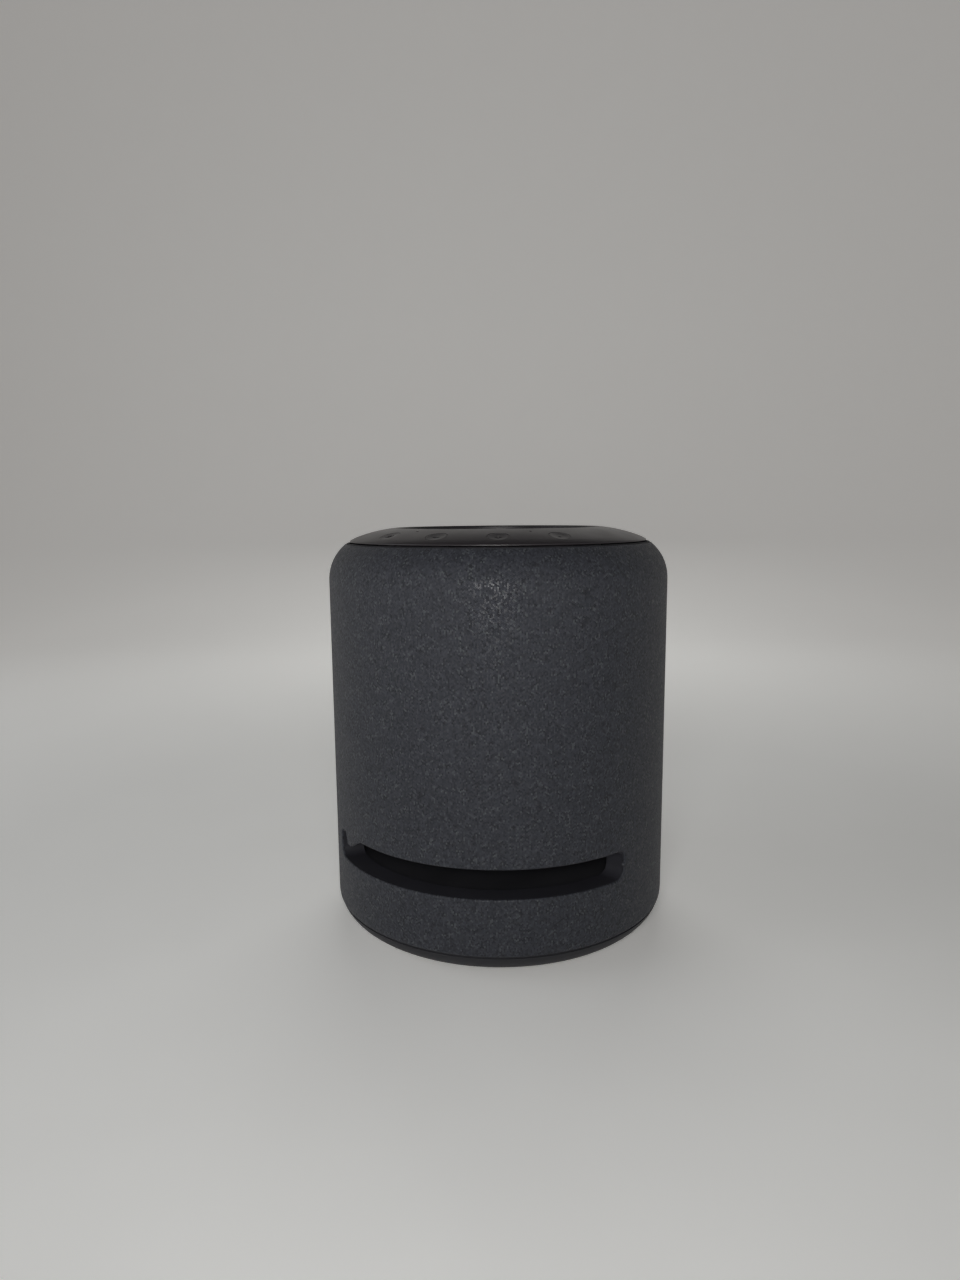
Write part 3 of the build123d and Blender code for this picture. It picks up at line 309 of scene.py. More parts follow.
def fibrous(name, colour, fibre, depth, roughness=0.85, **inputs):
    """Pressed paper, foam or felt: tangled fibres that lighten and darken the surface."""
    g = Graph(name)
    place = g.place()
    tangle = g.node("ShaderNodeTexVoronoi", {"feature": "F1"}, Vector=place, Scale=1 / fibre)
    cloud = g.noise(place, FIBRE_CLOUD, detail=4)
    mixed = g.math("MULTIPLY_ADD", tangle.outputs["Distance"], 0.5, g.math("MULTIPLY", cloud, 0.6))
    colour_out = g.ramp(mixed, (0.25, shade(colour, 0.7)), (0.8, shade(colour, 1.3)))
    return g.finish(Base_Color=colour_out, Roughness=roughness, Normal=g.bump(mixed, depth), **inputs)


def woven_cone(name, colour, pitch, depth, roughness=0.6, **inputs):
    """Cloth of crossing threads seen on flat parts: two wave sets at right angles."""
    g = Graph(name)
    place = g.place()
    bands = []
    for axis in ("X", "Y"):
        direction = {"bands_direction": axis}
        wave = g.node("ShaderNodeTexWave", direction, Vector=place, Scale=WAVE_LENGTH / pitch, Distortion=0.6)
        bands.append(wave.outputs["Fac"])
    threads = g.math("MAXIMUM", *bands)
    colour_out = g.ramp(threads, (0.2, shade(colour, 0.55)), (0.9, shade(colour, 1.2)))
    return g.finish(Base_Color=colour_out, Roughness=roughness, Normal=g.bump(threads, depth), **inputs)


def circuit(name):
    """Solder mask over copper tracks: green-black board with faint tracks and pads."""
    g = Graph(name)
    place = g.place()
    tracks = g.node(
        "ShaderNodeTexBrick", Vector=place, Scale=220.0, Mortar_Size=0.06, Brick_Width=1.4, Row_Height=0.35
    ).outputs["Fac"]
    mottled = g.noise(place, BOARD_MOTTLE, detail=3)
    lines = g.math("MULTIPLY_ADD", tracks, 0.6, g.math("MULTIPLY", mottled, 0.4))
    colour_out = g.ramp(lines, (0.15, linear(14, 44, 30)), (0.8, linear(36, 88, 60)))
    relief = g.bump(tracks, BOARD_RELIEF)
    return g.finish(Base_Color=colour_out, Roughness=0.38, Normal=relief, Specular_IOR_Level=0.5)


# The cloth's stitches: columns around the drum and rows up it, every other column half a row higher.
STITCH_COLUMNS = 800
STITCH_WIDTH = 2 * math.pi * BODY_RADIUS / STITCH_COLUMNS
STITCH_HEIGHT = 0.85 * MM
STITCH_RELIEF = 0.12 * MM
# How far a column of stitches strays, and over what length.
WOBBLE = 0.5 * STITCH_WIDTH
WOBBLE_SIZE = 2.5 * MM
# Sizes of the lively and calm spots, of the shaded patches and of the streaks, which are drawn out upwards.
LIVELY_SIZE = 4 * MM
PATCH_SIZE = 14 * MM
STREAK_SIZE = 1.6 * MM
STREAK_STRETCH = 1.0, 0.12, 1.0
CLOTH_COLOUR = linear(63, 65, 72)
FLECK_COLOUR = linear(88, 92, 95)


def cloth(name):
    """Knitted melange cloth: one random yarn tone for each stitch, rounded stitches and a soft sheen."""
    g = Graph(name)
    flat = g.node("ShaderNodeUVMap", {"uv_map": "cloth"}).outputs["UV"]
    parts = g.node("ShaderNodeSeparateXYZ", Vector=flat)
    wobble = g.math("MULTIPLY_ADD", g.noise(flat, WOBBLE_SIZE, detail=1), WOBBLE, -WOBBLE / 2)
    across = g.math("DIVIDE", g.math("ADD", parts.outputs["X"], wobble), STITCH_WIDTH)
    column = g.math("FLOOR", across)
    step = g.math("MULTIPLY", g.math("MODULO", column, 2.0), 0.5)
    up = g.math("ADD", g.math("DIVIDE", parts.outputs["Y"], STITCH_HEIGHT), step)
    row = g.math("FLOOR", up)
    cell = g.node("ShaderNodeCombineXYZ", X=column, Y=row).outputs[0]
    tone = g.node("ShaderNodeTexWhiteNoise", {"noise_dimensions": "2D"}, Vector=cell).outputs["Value"]
    gloss = g.node("ShaderNodeTexWhiteNoise", {"noise_dimensions": "3D"}, Vector=cell).outputs["Value"]
    lively = g.remap(g.noise(flat, LIVELY_SIZE, detail=2), 0.45, 1.35, 0.35, 0.65)
    yarn = g.math("MULTIPLY_ADD", g.math("SUBTRACT", tone, 0.5), lively, 0.5)
    patch = g.noise(flat, PATCH_SIZE, detail=3)
    drawn = g.node("ShaderNodeMapping", Vector=flat, Scale=STREAK_STRETCH).outputs[0]
    streak = g.noise(drawn, STREAK_SIZE, detail=2)
    uneven = g.math("MULTIPLY_ADD", streak, 0.14, g.math("MULTIPLY", patch, 0.08))
    mixed = g.math("ADD", g.math("MULTIPLY", yarn, 0.78), uneven)
    colour_out = g.ramp(
        mixed,
        (0.1, shade(CLOTH_COLOUR, 0.5)),
        (0.45, shade(CLOTH_COLOUR, 0.9)),
        (0.75, shade(CLOTH_COLOUR, 1.2)),
        (0.92, FLECK_COLOUR),
    )
    rib = g.math("SINE", g.math("MULTIPLY", g.math("FRACT", across), math.pi))
    loop = g.math("SINE", g.math("MULTIPLY", g.math("FRACT", up), math.pi))
    height = g.math("MULTIPLY_ADD", tone, 0.3, g.math("MULTIPLY", rib, g.math("POWER", loop, 0.5)))
    return g.finish(
        Base_Color=colour_out,
        Roughness=0.6,
        Specular_IOR_Level=0.25,
        Coat_Weight=g.remap(gloss, 0.0, 0.11, 0.72, 0.82),
        Coat_Roughness=0.33,
        Coat_IOR=2.2,
        Sheen_Weight=0.04,
        Sheen_Roughness=0.45,
        Normal=g.bump(height, STITCH_RELIEF),
    )


MATERIALS = {
    "charcoal_fabric": cloth("charcoal_fabric"),
    "ring_plastic": moulded(
        "ring_plastic", linear(47, 43, 46), 0.42, grain=0.25 * MM, depth=0.006 * MM, spread=0.06
    ),
    "button_plastic": moulded("button_plastic", linear(44, 41, 44), 0.42, grain=0.25 * MM, depth=0.008 * MM),
    "base_plastic": moulded(
        "base_plastic", linear(58, 58, 62), 0.62, grain=0.3 * MM, depth=0.01 * MM, Specular_IOR_Level=0.22
    ),
    "trim_plastic": moulded(
        "trim_plastic", linear(49, 49, 55), 0.6, grain=0.3 * MM, depth=0.01 * MM, Specular_IOR_Level=0.35
    ),
    "foot_rubber": moulded("foot_rubber", linear(34, 34, 35), 0.75, grain=0.6 * MM, depth=0.05 * MM),
    "light_diffuser": moulded(
        "light_diffuser", linear(40, 40, 44), 0.7, grain=0.5 * MM, depth=0.004 * MM, Specular_IOR_Level=0.25
    ),
    "grille_metal": metal("grille_metal", linear(60, 60, 63), 0.42, grain=(0.3 * MM, 0.3 * MM, 0.3 * MM)),
    "screw_steel": metal("screw_steel", linear(150, 150, 152), 0.32, grain=(0.15 * MM, 1.5 * MM, 0.15 * MM)),
    "black_plastic": moulded("black_plastic", linear(48, 48, 52), 0.55, grain=0.4 * MM, depth=0.02 * MM),
    "gasket_foam": fibrous("gasket_foam", linear(44, 44, 46), 0.5 * MM, 0.12 * MM),
    "basket_steel": moulded("basket_steel", linear(38, 38, 40), 0.55, grain=0.5 * MM, depth=0.03 * MM),
    "motor_steel": metal("motor_steel", linear(160, 158, 150), 0.36),
    "ferrite": moulded("ferrite", linear(46, 45, 47), 0.62, grain=0.8 * MM, depth=0.05 * MM),
    "cone_paper": fibrous("cone_paper", linear(40, 40, 42), 0.7 * MM, 0.08 * MM),
    "coil_copper": metal(
        "coil_copper", linear(186, 112, 72), 0.3, grain=(2 * MM, 2 * MM, 0.18 * MM), depth=0.05 * MM
    ),
    "surround_rubber": moulded("surround_rubber", linear(26, 26, 27), 0.6, grain=0.3 * MM, depth=0.01 * MM),
    "spider_cloth": woven_cone("spider_cloth", linear(196, 160, 88), 0.7 * MM, 0.1 * MM, roughness=0.9),
    "dome_cloth": woven_cone("dome_cloth", linear(48, 48, 52), 0.35 * MM, 0.05 * MM),
    "circuit_board": circuit("circuit_board"),
    "light_chip": moulded("light_chip", linear(224, 218, 190), 0.35, grain=0.3 * MM, depth=0.01 * MM),
    "microphone_can": metal("microphone_can", linear(190, 184, 170), 0.28),
    "component_black": moulded("component_black", linear(30, 30, 32), 0.5, grain=0.2 * MM, depth=0.01 * MM),
    "heat_sink_alloy": metal("heat_sink_alloy", linear(176, 178, 180), 0.4),
    "socket_plastic": moulded("socket_plastic", linear(20, 20, 22), 0.46, grain=0.3 * MM, depth=0.012 * MM),
    "socket_metal": metal("socket_metal", linear(190, 190, 192), 0.26),
    "lead_sheath": moulded("lead_sheath", linear(30, 30, 32), 0.5, grain=0.3 * MM, depth=0.01 * MM),
}


def set_material(obj, slot):
    obj.data.materials.clear()
    obj.data.materials.append(MATERIALS[slot])


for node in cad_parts.values():
    set_material(node, node.data.materials[0].name.split(".")[0])
# The trim around the slot has a more matt finish than the casings.
set_material(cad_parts["slot_trim"], "trim_plastic")


# Meshes


class Builder:
    """Collects vertices, faces and flat cloth coordinates for one mesh."""

    def __init__(self):
        self.points = []
        self.faces = []
        self.flat = []

    def add(self, point, flat=(0.0, 0.0)):
        self.points.append(tuple(point))
        self.flat.append(tuple(flat))
        return len(self.points) - 1

    def bridge(self, first, second, closed=True):
        """Quads between two rows of as many points."""
        count = len(first)
        for k in range(count if closed else count - 1):
            n = (k + 1) % count
            self.faces.append((first[k], first[n], second[n], second[k]))

    def make(self, name, slot, body, replaces=(), uv_name=None, uv_wrap=None):
        mesh = bpy.data.meshes.new(name)
        mesh.from_pydata(self.points, [], self.faces)
        if uv_name:
            layer = mesh.uv_layers.new(name=uv_name)
            for polygon in mesh.polygons:
                corners = [self.flat[v] for v in polygon.vertices]
                widest = max(c[0] for c in corners)
                for loop, (u, v) in zip(polygon.loop_indices, corners):
                    wrapped = u + uv_wrap if uv_wrap and widest - u > uv_wrap / 2 else u
                    layer.data[loop].uv = (wrapped, v)
        mesh.polygons.foreach_set("use_smooth", [True] * len(mesh.polygons))
        mesh.validate()
        mesh.update()
        obj = bpy.data.objects.new(name, mesh)
        bpy.context.scene.collection.objects.link(obj)
        set_material(obj, slot)
        if body:
            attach(obj, body)
        if replaces:
            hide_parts(*replaces)
        return obj


# Cloth sleeve

BOTTOM_ANGLE = math.asin((CLOTH_LOW_Z - BOTTOM_CENTRE_Z) / BOTTOM_ROUND)
SHOULDER_ANGLE = math.acos((CLOTH_TOP_RADIUS - BODY_RADIUS + SHOULDER_ROUND) / SHOULDER_ROUND)
BOTTOM_LENGTH = -BOTTOM_ANGLE * BOTTOM_ROUND
WALL_LENGTH = SHOULDER_CENTRE_Z - BOTTOM_CENTRE_Z
CLOTH_LENGTH = BOTTOM_LENGTH + WALL_LENGTH + SHOULDER_ANGLE * SHOULDER_ROUND


def cloth_point(azimuth, along, depth):
    """Point of the cloth at an azimuth and a length up its outline, that deep under its face."""
    if along < BOTTOM_LENGTH:
        angle = BOTTOM_ANGLE + along / BOTTOM_ROUND
        radius = BODY_RADIUS - BOTTOM_ROUND + (BOTTOM_ROUND - depth) * math.cos(angle)
        z = BOTTOM_CENTRE_Z + (BOTTOM_ROUND - depth) * math.sin(angle)
    elif along < BOTTOM_LENGTH + WALL_LENGTH:
        radius = BODY_RADIUS - depth
        z = BOTTOM_CENTRE_Z + along - BOTTOM_LENGTH
    else:
        angle = (along - BOTTOM_LENGTH - WALL_LENGTH) / SHOULDER_ROUND
        radius = BODY_RADIUS - SHOULDER_ROUND + (SHOULDER_ROUND - depth) * math.cos(angle)
        z = SHOULDER_CENTRE_Z + (SHOULDER_ROUND - depth) * math.sin(angle)
    turn = math.radians(azimuth)
    return radius * math.sin(turn), -radius * math.cos(turn), z


def along_at(z):
    """Length up the cloth's outline at a height of its lower arc or wall."""
    if z < BOTTOM_CENTRE_Z:
        return (math.asin((z - BOTTOM_CENTRE_Z) / BOTTOM_ROUND) - BOTTOM_ANGLE) * BOTTOM_ROUND
    return BOTTOM_LENGTH + z - BOTTOM_CENTRE_Z


def rounded_outline(half_width, low, high, corners, across, up, arc_steps, gather=0.0):
    """Rounded rectangle, clockwise from the middle of its top left corner, with across and up points a side.

    corners holds the radius at the top and at the bottom. gather draws the points of the long sides to their
    ends."""
    top, bottom = corners
    places = [
        (-half_width, high, top),
        (half_width, high, top),
        (half_width, low, bottom),
        (-half_width, low, bottom),
    ]
    outline = []
    for k, count in enumerate((across, up, across, up)):
        first, last = (Vector(places[n][:2]) for n in (k, (k + 1) % 4))
        first_round, last_round = places[k][2], places[(k + 1) % 4][2]
        run = (last - first).normalized()
        out = Vector((-run.y, run.x))
        start = first + run * first_round
        end = last - run * last_round
        for step in range(arc_steps):
            turn = math.radians(45 * (1 - step / arc_steps))
            outline.append(start + first_round * (out * (math.cos(turn) - 1) - run * math.sin(turn)))
        straight = count - 2 * arc_steps
        for step in range(straight + 1):
            share = step / straight
            if run.x:
                share += gather * ((1 - math.cos(math.pi * share)) / 2 - share)
            outline.append(start.lerp(end, share))
        for step in range(1, arc_steps):
            turn = math.radians(45 * step / arc_steps)
            outline.append(end + last_round * (out * (math.cos(turn) - 1) + run * math.sin(turn)))
    return outline


# Mesh steps around a rolled edge, and from the grid to a hole's edge, where they get shorter by a power.
LIP_STEPS = 4
RUN_STEPS = 6
RUN_POWER = 1.8


def edged_rows(length, middle, thickness):
    """Mesh rows of a sheet as lengths along its outline and depths, with a rolled edge at both ends."""
    turns = [math.radians(90 * k / LIP_STEPS) for k in range(LIP_STEPS, -1, -1)]
    edge = [(thickness * (1 - math.sin(turn)), thickness * (1 - math.cos(turn))) for turn in turns]
    ends = [(length - along, depth) for along, depth in reversed(edge)]
    return edge + [(along, 0.0) for along in middle] + ends


def spread(start, end, step):
    """Even lengths from start up to end, about a step apart and without the end."""
    count = round((end - start) / step)
    return [start + (end - start) * k / count for k in range(count)]


# A hole in a sheet: the mesh columns and rows around it, its azimuth, its edge's shape and the edge's roll.
Hole = namedtuple("Hole", "left right low high azimuth outline lip")


def shell(build, columns, first, rows, thickness, place, radius_at, holes):
    """Closed sheet around the axis, from the first azimuth on, with rolled edges at ends and holes."""
    step = 360 / columns
    top = len(rows) - 1

    def vertex(azimuth, along, depth):
        flat = (math.radians(azimuth - first) * BODY_RADIUS, along)
        return build.add(place(azimuth, along, depth), flat)

    def hole_edge(hole, grid, ends):
        """Runs from the grid to a hole's edge. The outer face rolls over it, the inner face ends on it."""
        left, right, low, high = hole[:4]
        border = [(high, j) for j in range(left, right)] + [(i, right) for i in range(high, low, -1)]
        border += [(low, j) for j in range(right, left, -1)] + [(i, left) for i in range(low, high)]
        flat = []
        for i, j in border:
            along = rows[i][0]
            flat.append(Vector((math.radians(first + j * step - hole.azimuth) * radius_at(along), along)))
        edge = hole.outline(flat)
        runs = [(edge[(k + 1) % len(edge)] - edge[k - 1]).normalized() for k in range(len(edge))]
        normals = [Vector((-run.y, run.x)) for run in runs]
        rim = 0.0 if ends else hole.lip
        levels = []
        for count in range(1, RUN_STEPS + 1):
            share = 1 - (1 - count / RUN_STEPS) ** RUN_POWER
            places = [a.lerp(e + n * rim, share) for a, e, n in zip(flat, edge, normals)]
            levels.append((places, thickness if ends else 0.0))
        if not ends:
            for count in range(1, LIP_STEPS + 1):
                turn = math.radians(90 * count / LIP_STEPS)
                places = [e + n * rim * (1 - math.sin(turn)) for e, n in zip(edge, normals)]
                levels.append((places, rim * (1 - math.cos(turn))))
            if thickness > rim:
                levels.append((edge, thickness))
        loop = [grid[key] for key in border]
        for count, (places, depth) in enumerate(levels):
            if ends and count == len(levels) - 1:
                following = ends
            else:
                following = [
                    vertex(hole.azimuth + math.degrees(p.x / radius_at(p.y)), p.y, depth) for p in places
                ]
            build.bridge(*((loop, following) if ends else (following, loop)))
            loop = following
        return loop

    def surface(shared=None):
        """The outer face, or the inner face on the outer one's shared edges."""
        grid = {}
        for i, (along, depth) in enumerate(rows):
            for j in range(columns):
                if any(hole.left < j < hole.right and hole.low < i < hole.high for hole in holes):
                    continue
                if shared and i in (0, top):
                    grid[i, j] = shared[0][i, j]
                else:
                    grid[i, j] = vertex(first + j * step, along, thickness if shared else depth)
        for i in range(top):
            for j in range(columns):
                if any(hole.left <= j < hole.right and hole.low <= i < hole.high for hole in holes):
                    continue
                n = (j + 1) % columns
                corner = (grid[i, j], grid[i, n], grid[i + 1, n], grid[i + 1, j])
                build.faces.append(corner[::-1] if shared else corner)
        ends = [hole_edge(hole, grid, shared[1][k] if shared else None) for k, hole in enumerate(holes)]
        return grid, ends

    surface(surface())


CLOTH_COLUMNS = 288
COLUMN_STEP = 360 / CLOTH_COLUMNS
FIRST_AZIMUTH = -112.5
ROW_STEP = 1.25 * MM
UPPER_ROW_STEP = 2.4 * MM
FINE_ROWS_Z = 14.4 * MM, 66.7 * MM
# The even grid stops this far around the slot and the port window: half a width in degrees, and two heights.
SLOT_GRID_ANGLE = 66
SLOT_GRID_Z = 33 * MM, 63 * MM
PORT_GRID_ANGLE = 22.5
PORT_GRID_Z = 14.4 * MM, 42 * MM
# Points in half a corner of each, and how far the slot's points are drawn towards its ends.
SLOT_ARC_STEPS = 4
PORT_ARC_STEPS = 3
SLOT_GATHER = 0.6


def cloth_rows():
    """Rows of the cloth's mesh, finer where the slot and the port window are."""
    fine_start, fine_end = (along_at(z) for z in FINE_ROWS_Z)
    middle = spread(fine_start, fine_end, ROW_STEP)
    middle += spread(fine_end, CLOTH_LENGTH - CLOTH_THICKNESS, UPPER_ROW_STEP)
    return edged_rows(CLOTH_LENGTH, middle, CLOTH_THICKNESS)


def nearest_row(rows, z):
    return min(range(len(rows)), key=lambda i: abs(rows[i][0] - along_at(z)))


def smooth(value, start, end):
    """0 before start, 1 after end, and an even S between them."""
    share = min(1.0, max(0.0, (value - start) / (end - start)))
    return share * share * (3 - 2 * share)


def slot_folds(points):
    """The slot's outline in the cloth, with the fold at its upper left end and the nick at its right."""
    shaped = []
    for u, z in points:
        if z > SLOT_HIGH_Z - FOLD_REACH:
            dropped = smooth(u, FOLD_LEFT - FOLD_STEP, FOLD_LEFT)
            risen = smooth(u, FOLD_LEFT + FOLD_STAY, FOLD_RIGHT)
            z -= FOLD_DROP * dropped * (1 - risen)
        if u > NICK_FROM:
            u -= NICK_DEPTH * math.exp(-(((z - NICK_Z) / NICK_HALF) ** 2))
        shaped.append((u, z))
    return shaped


def nearest_column(azimuth):
    return round((azimuth - FIRST_AZIMUTH) / COLUMN_STEP)


def make_sleeve():
    build = Builder()
    rows = cloth_rows()
    slot_left, slot_right = (nearest_column(side * SLOT_GRID_ANGLE) for side in (-1, 1))
    port_left, port_right = (nearest_column(180 + side * PORT_GRID_ANGLE) for side in (-1, 1))
    slot_rows = [nearest_row(rows, z) for z in SLOT_GRID_Z]
    port_rows = [nearest_row(rows, z) for z in PORT_GRID_Z]
    half_slot = math.radians(SLOT_HALF_ANGLE) * BODY_RADIUS
    half_port = math.asin(PORT_HALF_WIDTH / BODY_RADIUS) * BODY_RADIUS
    slot_outline = slot_folds(
        rounded_outline(
            half_slot, SLOT_LOW_Z, SLOT_HIGH_Z, SLOT_CORNERS,
            slot_right - slot_left, slot_rows[1] - slot_rows[0], SLOT_ARC_STEPS, gather=SLOT_GATHER,
        )
    )
    port_outline = rounded_outline(
        half_port, PORT_LOW_Z, PORT_HIGH_Z, PORT_CORNERS,
        port_right - port_left, port_rows[1] - port_rows[0], PORT_ARC_STEPS,
    )

    def on_cloth(outline):
        return lambda flat: [Vector((u, along_at(z))) for u, z in outline]

    holes = [
        Hole(slot_left, slot_right, *slot_rows, 0.0, on_cloth(slot_outline), CLOTH_THICKNESS),
        Hole(port_left, port_right, *port_rows, 180.0, on_cloth(port_outline), CLOTH_THICKNESS),
    ]
    shell(
        build, CLOTH_COLUMNS, FIRST_AZIMUTH, rows, CLOTH_THICKNESS, cloth_point,
        lambda along: BODY_RADIUS, holes,
    )
    width = 2 * math.pi * BODY_RADIUS
    sleeve = build.make(
        "fabric_cover", "charcoal_fabric", "cabinet", ["fabric_sleeve"], uv_name="cloth", uv_wrap=width
    )


# Top ring

RING_COLUMNS = 720
RING_STEP = 360 / RING_COLUMNS
RING_FIRST = -110.0
RING_ROW = 0.6 * MM
RING_WALL_ROW = 3 * MM
RIM_STEP = RIM_ROUND / 5
# The even grid stops this far around a button's hole and a pinhole.
BUTTON_HOLE_MARGIN = 1.6 * MM
MICROPHONE_HOLE_MARGIN = 0.9 * MM
RING_START = math.acos((RING_RADIUS - BODY_RADIUS + SHOULDER_ROUND) / SHOULDER_ROUND)
CROWN_START = RING_SLOPE + CROWN_TURN
RING_ARC = (math.pi / 2 - CROWN_START - RING_START) * SHOULDER_ROUND


def shoulder(slope):
    """Radius and height of the shoulder's arc where it has a slope."""
    return Vector((
        BODY_RADIUS - SHOULDER_ROUND + SHOULDER_ROUND * math.sin(slope),
        SHOULDER_CENTRE_Z + SHOULDER_ROUND * math.cos(slope),
    ))


def rim_height():
    """Height of the centre of the rim's rounding, which touches the frame's straight slope."""
    foot = shoulder(RING_SLOPE)
    tangent = RIM_ROUND * math.tan((math.pi / 2 + RING_SLOPE) / 2)
    return foot.y + (foot.x - RIM_RADIUS) * math.tan(RING_SLOPE) - tangent


# The crown is a wide arc that leaves the shoulder smoothly and runs into the rim's rounding.
RIM_Z = rim_height()
RIM_CENTRE = Vector((RIM_RADIUS + RIM_ROUND, RIM_Z))
CROWN_NORMAL = Vector((math.sin(CROWN_START), math.cos(CROWN_START)))
CROWN_SPAN = RIM_CENTRE - shoulder(CROWN_START)
CROWN_DROP = CROWN_SPAN.dot(CROWN_NORMAL) + RIM_ROUND
CROWN_RADIUS = (RIM_ROUND ** 2 - CROWN_SPAN.length_squared) / 2 / CROWN_DROP
CROWN_CENTRE = shoulder(CROWN_START) - CROWN_RADIUS * CROWN_NORMAL
CROWN_END = math.atan2(RIM_CENTRE.x - CROWN_CENTRE.x, RIM_CENTRE.y - CROWN_CENTRE.y)
RIM_TURN = math.pi / 2 + CROWN_END
RING_RISE = (CROWN_START - CROWN_END) * CROWN_RADIUS
RING_LOW_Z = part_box("top_ring")[0].z
RING_LENGTH = RING_ARC + RING_RISE + RIM_TURN * RIM_ROUND + RIM_Z - RING_LOW_Z
SLOPE_END = RING_ARC + RING_RISE
RIM_END = SLOPE_END + RIM_TURN * RIM_ROUND


def ring_section(along, depth):
    """Radius and height on the ring's section: up the arc and the slope, over the rim and down its wall."""
    if along < RING_ARC:
        turn = RING_START + along / SHOULDER_ROUND
        radius = SHOULDER_ROUND - depth
        return (
            BODY_RADIUS - SHOULDER_ROUND + radius * math.cos(turn),
            SHOULDER_CENTRE_Z + radius * math.sin(turn),
        )
    if along < SLOPE_END:
        turn = CROWN_START - (along - RING_ARC) / CROWN_RADIUS
        radius = CROWN_RADIUS - depth
        return CROWN_CENTRE.x + radius * math.sin(turn), CROWN_CENTRE.y + radius * math.cos(turn)
    if along < RIM_END:
        turn = math.pi / 2 - CROWN_END + (along - SLOPE_END) / RIM_ROUND
        radius = RIM_ROUND - depth
        return RIM_RADIUS + RIM_ROUND + radius * math.cos(turn), RIM_Z + radius * math.sin(turn)
    return RIM_RADIUS + depth, RIM_Z - (along - RIM_END)


def ring_point(azimuth, along, depth):
    radius, z = ring_section(along, depth)
    turn = math.radians(azimuth)
    return radius * math.sin(turn), -radius * math.cos(turn), z


def crown_slope(radius):
    """Slope of the crown at a radius from the axis."""
    return math.asin((radius - CROWN_CENTRE.x) / CROWN_RADIUS)


def ring_along(radius):
    """Length along the ring's section at a radius of its slope."""
    return RING_ARC + (CROWN_START - crown_slope(radius)) * CROWN_RADIUS


def ring_hole(rows, azimuth, circle, radius, margin, lip):
    """Round hole in the ring's slope."""
    centre = ring_along(circle)
    reach = radius + margin
    half = math.ceil(math.degrees(reach / circle) / RING_STEP)
    middle = round((azimuth - RING_FIRST) / RING_STEP)
    low, high = (
        min(range(len(rows)), key=lambda i: abs(rows[i][0] - centre - side * reach)) for side in (-1, 1)
    )

    def outline(flat):
        hub = Vector((0, centre))
        return [hub + radius * (point - hub).normalized() for point in flat]

    return Hole(middle - half, middle + half, low, high, azimuth, outline, lip)


def make_ring():
    build = Builder()
    middle = spread(2 * RING_SKIN, SLOPE_END, RING_ROW) + spread(SLOPE_END, RIM_END, RIM_STEP)
    middle += spread(RIM_END, RING_LENGTH - 2 * RING_SKIN, RING_WALL_ROW)
    rows = edged_rows(RING_LENGTH, middle, RING_SKIN)
    holes = [
        ring_hole(rows, azimuth, BUTTON_CIRCLE, BUTTON_HOLE, BUTTON_HOLE_MARGIN, BUTTON_HOLE_EDGE)
        for azimuth in BUTTON_AZIMUTHS.values()
    ]
    pinhole = MICROPHONE_CIRCLE, MICROPHONE_HOLE, MICROPHONE_HOLE_MARGIN, MICROPHONE_HOLE_EDGE
    holes += [ring_hole(rows, azimuth, *pinhole) for azimuth in MICROPHONE_AZIMUTHS]
    shell(
        build, RING_COLUMNS, RING_FIRST, rows, RING_SKIN, ring_point,
        lambda along: ring_section(along, 0.0)[0], holes,
    )
    build.make("ring_cover", "ring_plastic", "cabinet", ["top_ring"])


# Buttons: dished caps with a low raised sign

CAP_STEPS = 96
DISH_STEPS = 42
# Steps in a quarter turn of a small rounding.
ARC_STEPS = 6
# Signs: height over the dish and width of their soft edge, then half lengths, half widths of lines and radii.
SIGN_HEIGHT = 0.16 * MM
SIGN_EDGE = 0.12 * MM
SIGN_CIRCLE = 1.35 * MM
SIGN_CIRCLE_LINE = 0.2 * MM
SIGN_SLASH = 2.1 * MM
SIGN_BAR = 1.6 * MM
SIGN_BAR_LINE = 0.22 * MM
SIGN_DOT = 0.75 * MM


def bar_distance(x, y, half_width, half_height):
    return max(abs(x) - half_width, abs(y) - half_height)


def sign_distance(name, x, y):
    """Signed distance to the outline of a button's sign: slashed circle, minus, plus or dot."""
    circle = abs(math.hypot(x, y) - SIGN_CIRCLE) - SIGN_CIRCLE_LINE
    along, across = (x + y) * math.sqrt(0.5), (y - x) * math.sqrt(0.5)
    slash = bar_distance(along, across, SIGN_SLASH, SIGN_CIRCLE_LINE)
    minus = bar_distance(x, y, SIGN_BAR, SIGN_BAR_LINE)
    upright = bar_distance(x, y, SIGN_BAR_LINE, SIGN_BAR)
    signs = {
        "mute": min(circle, slash),
        "volume_down": minus,
        "volume_up": min(minus, upright),
        "action": math.hypot(x, y) - SIGN_DOT,
    }
    return signs[name]


def crown_height(lean, away):
    """Height of the ring's crown over the plane of a cap, at a distance from its centre towards the rim."""
    side = away - CROWN_RADIUS * math.sin(lean)
    return math.sqrt(CROWN_RADIUS ** 2 - side ** 2) - CROWN_RADIUS * math.cos(lean)


def cap_section(bottom):
    """Radius and height of a cap's section from the centre of its dish out, down and back under its stem.

    The dish has no height here, because its sign is raised from it."""
    section = [(BUTTON_DISH_RADIUS * k / DISH_STEPS, None) for k in range(DISH_STEPS + 1)]
    for k in range(ARC_STEPS + 1):
        turn = math.radians(90 * k / ARC_STEPS)
        inset = BUTTON_EDGE * (1 - math.sin(turn))
        section.append((BUTTON_RADIUS - inset, -BUTTON_RECESS - BUTTON_EDGE * (1 - math.cos(turn))))
    reach, flange_top, flange_low = BUTTON_FLANGE
    section += [(BUTTON_RADIUS, flange_top), (reach, flange_top), (reach, flange_low)]
    return section + [(BUTTON_STEM, flange_low), (BUTTON_STEM, bottom)]


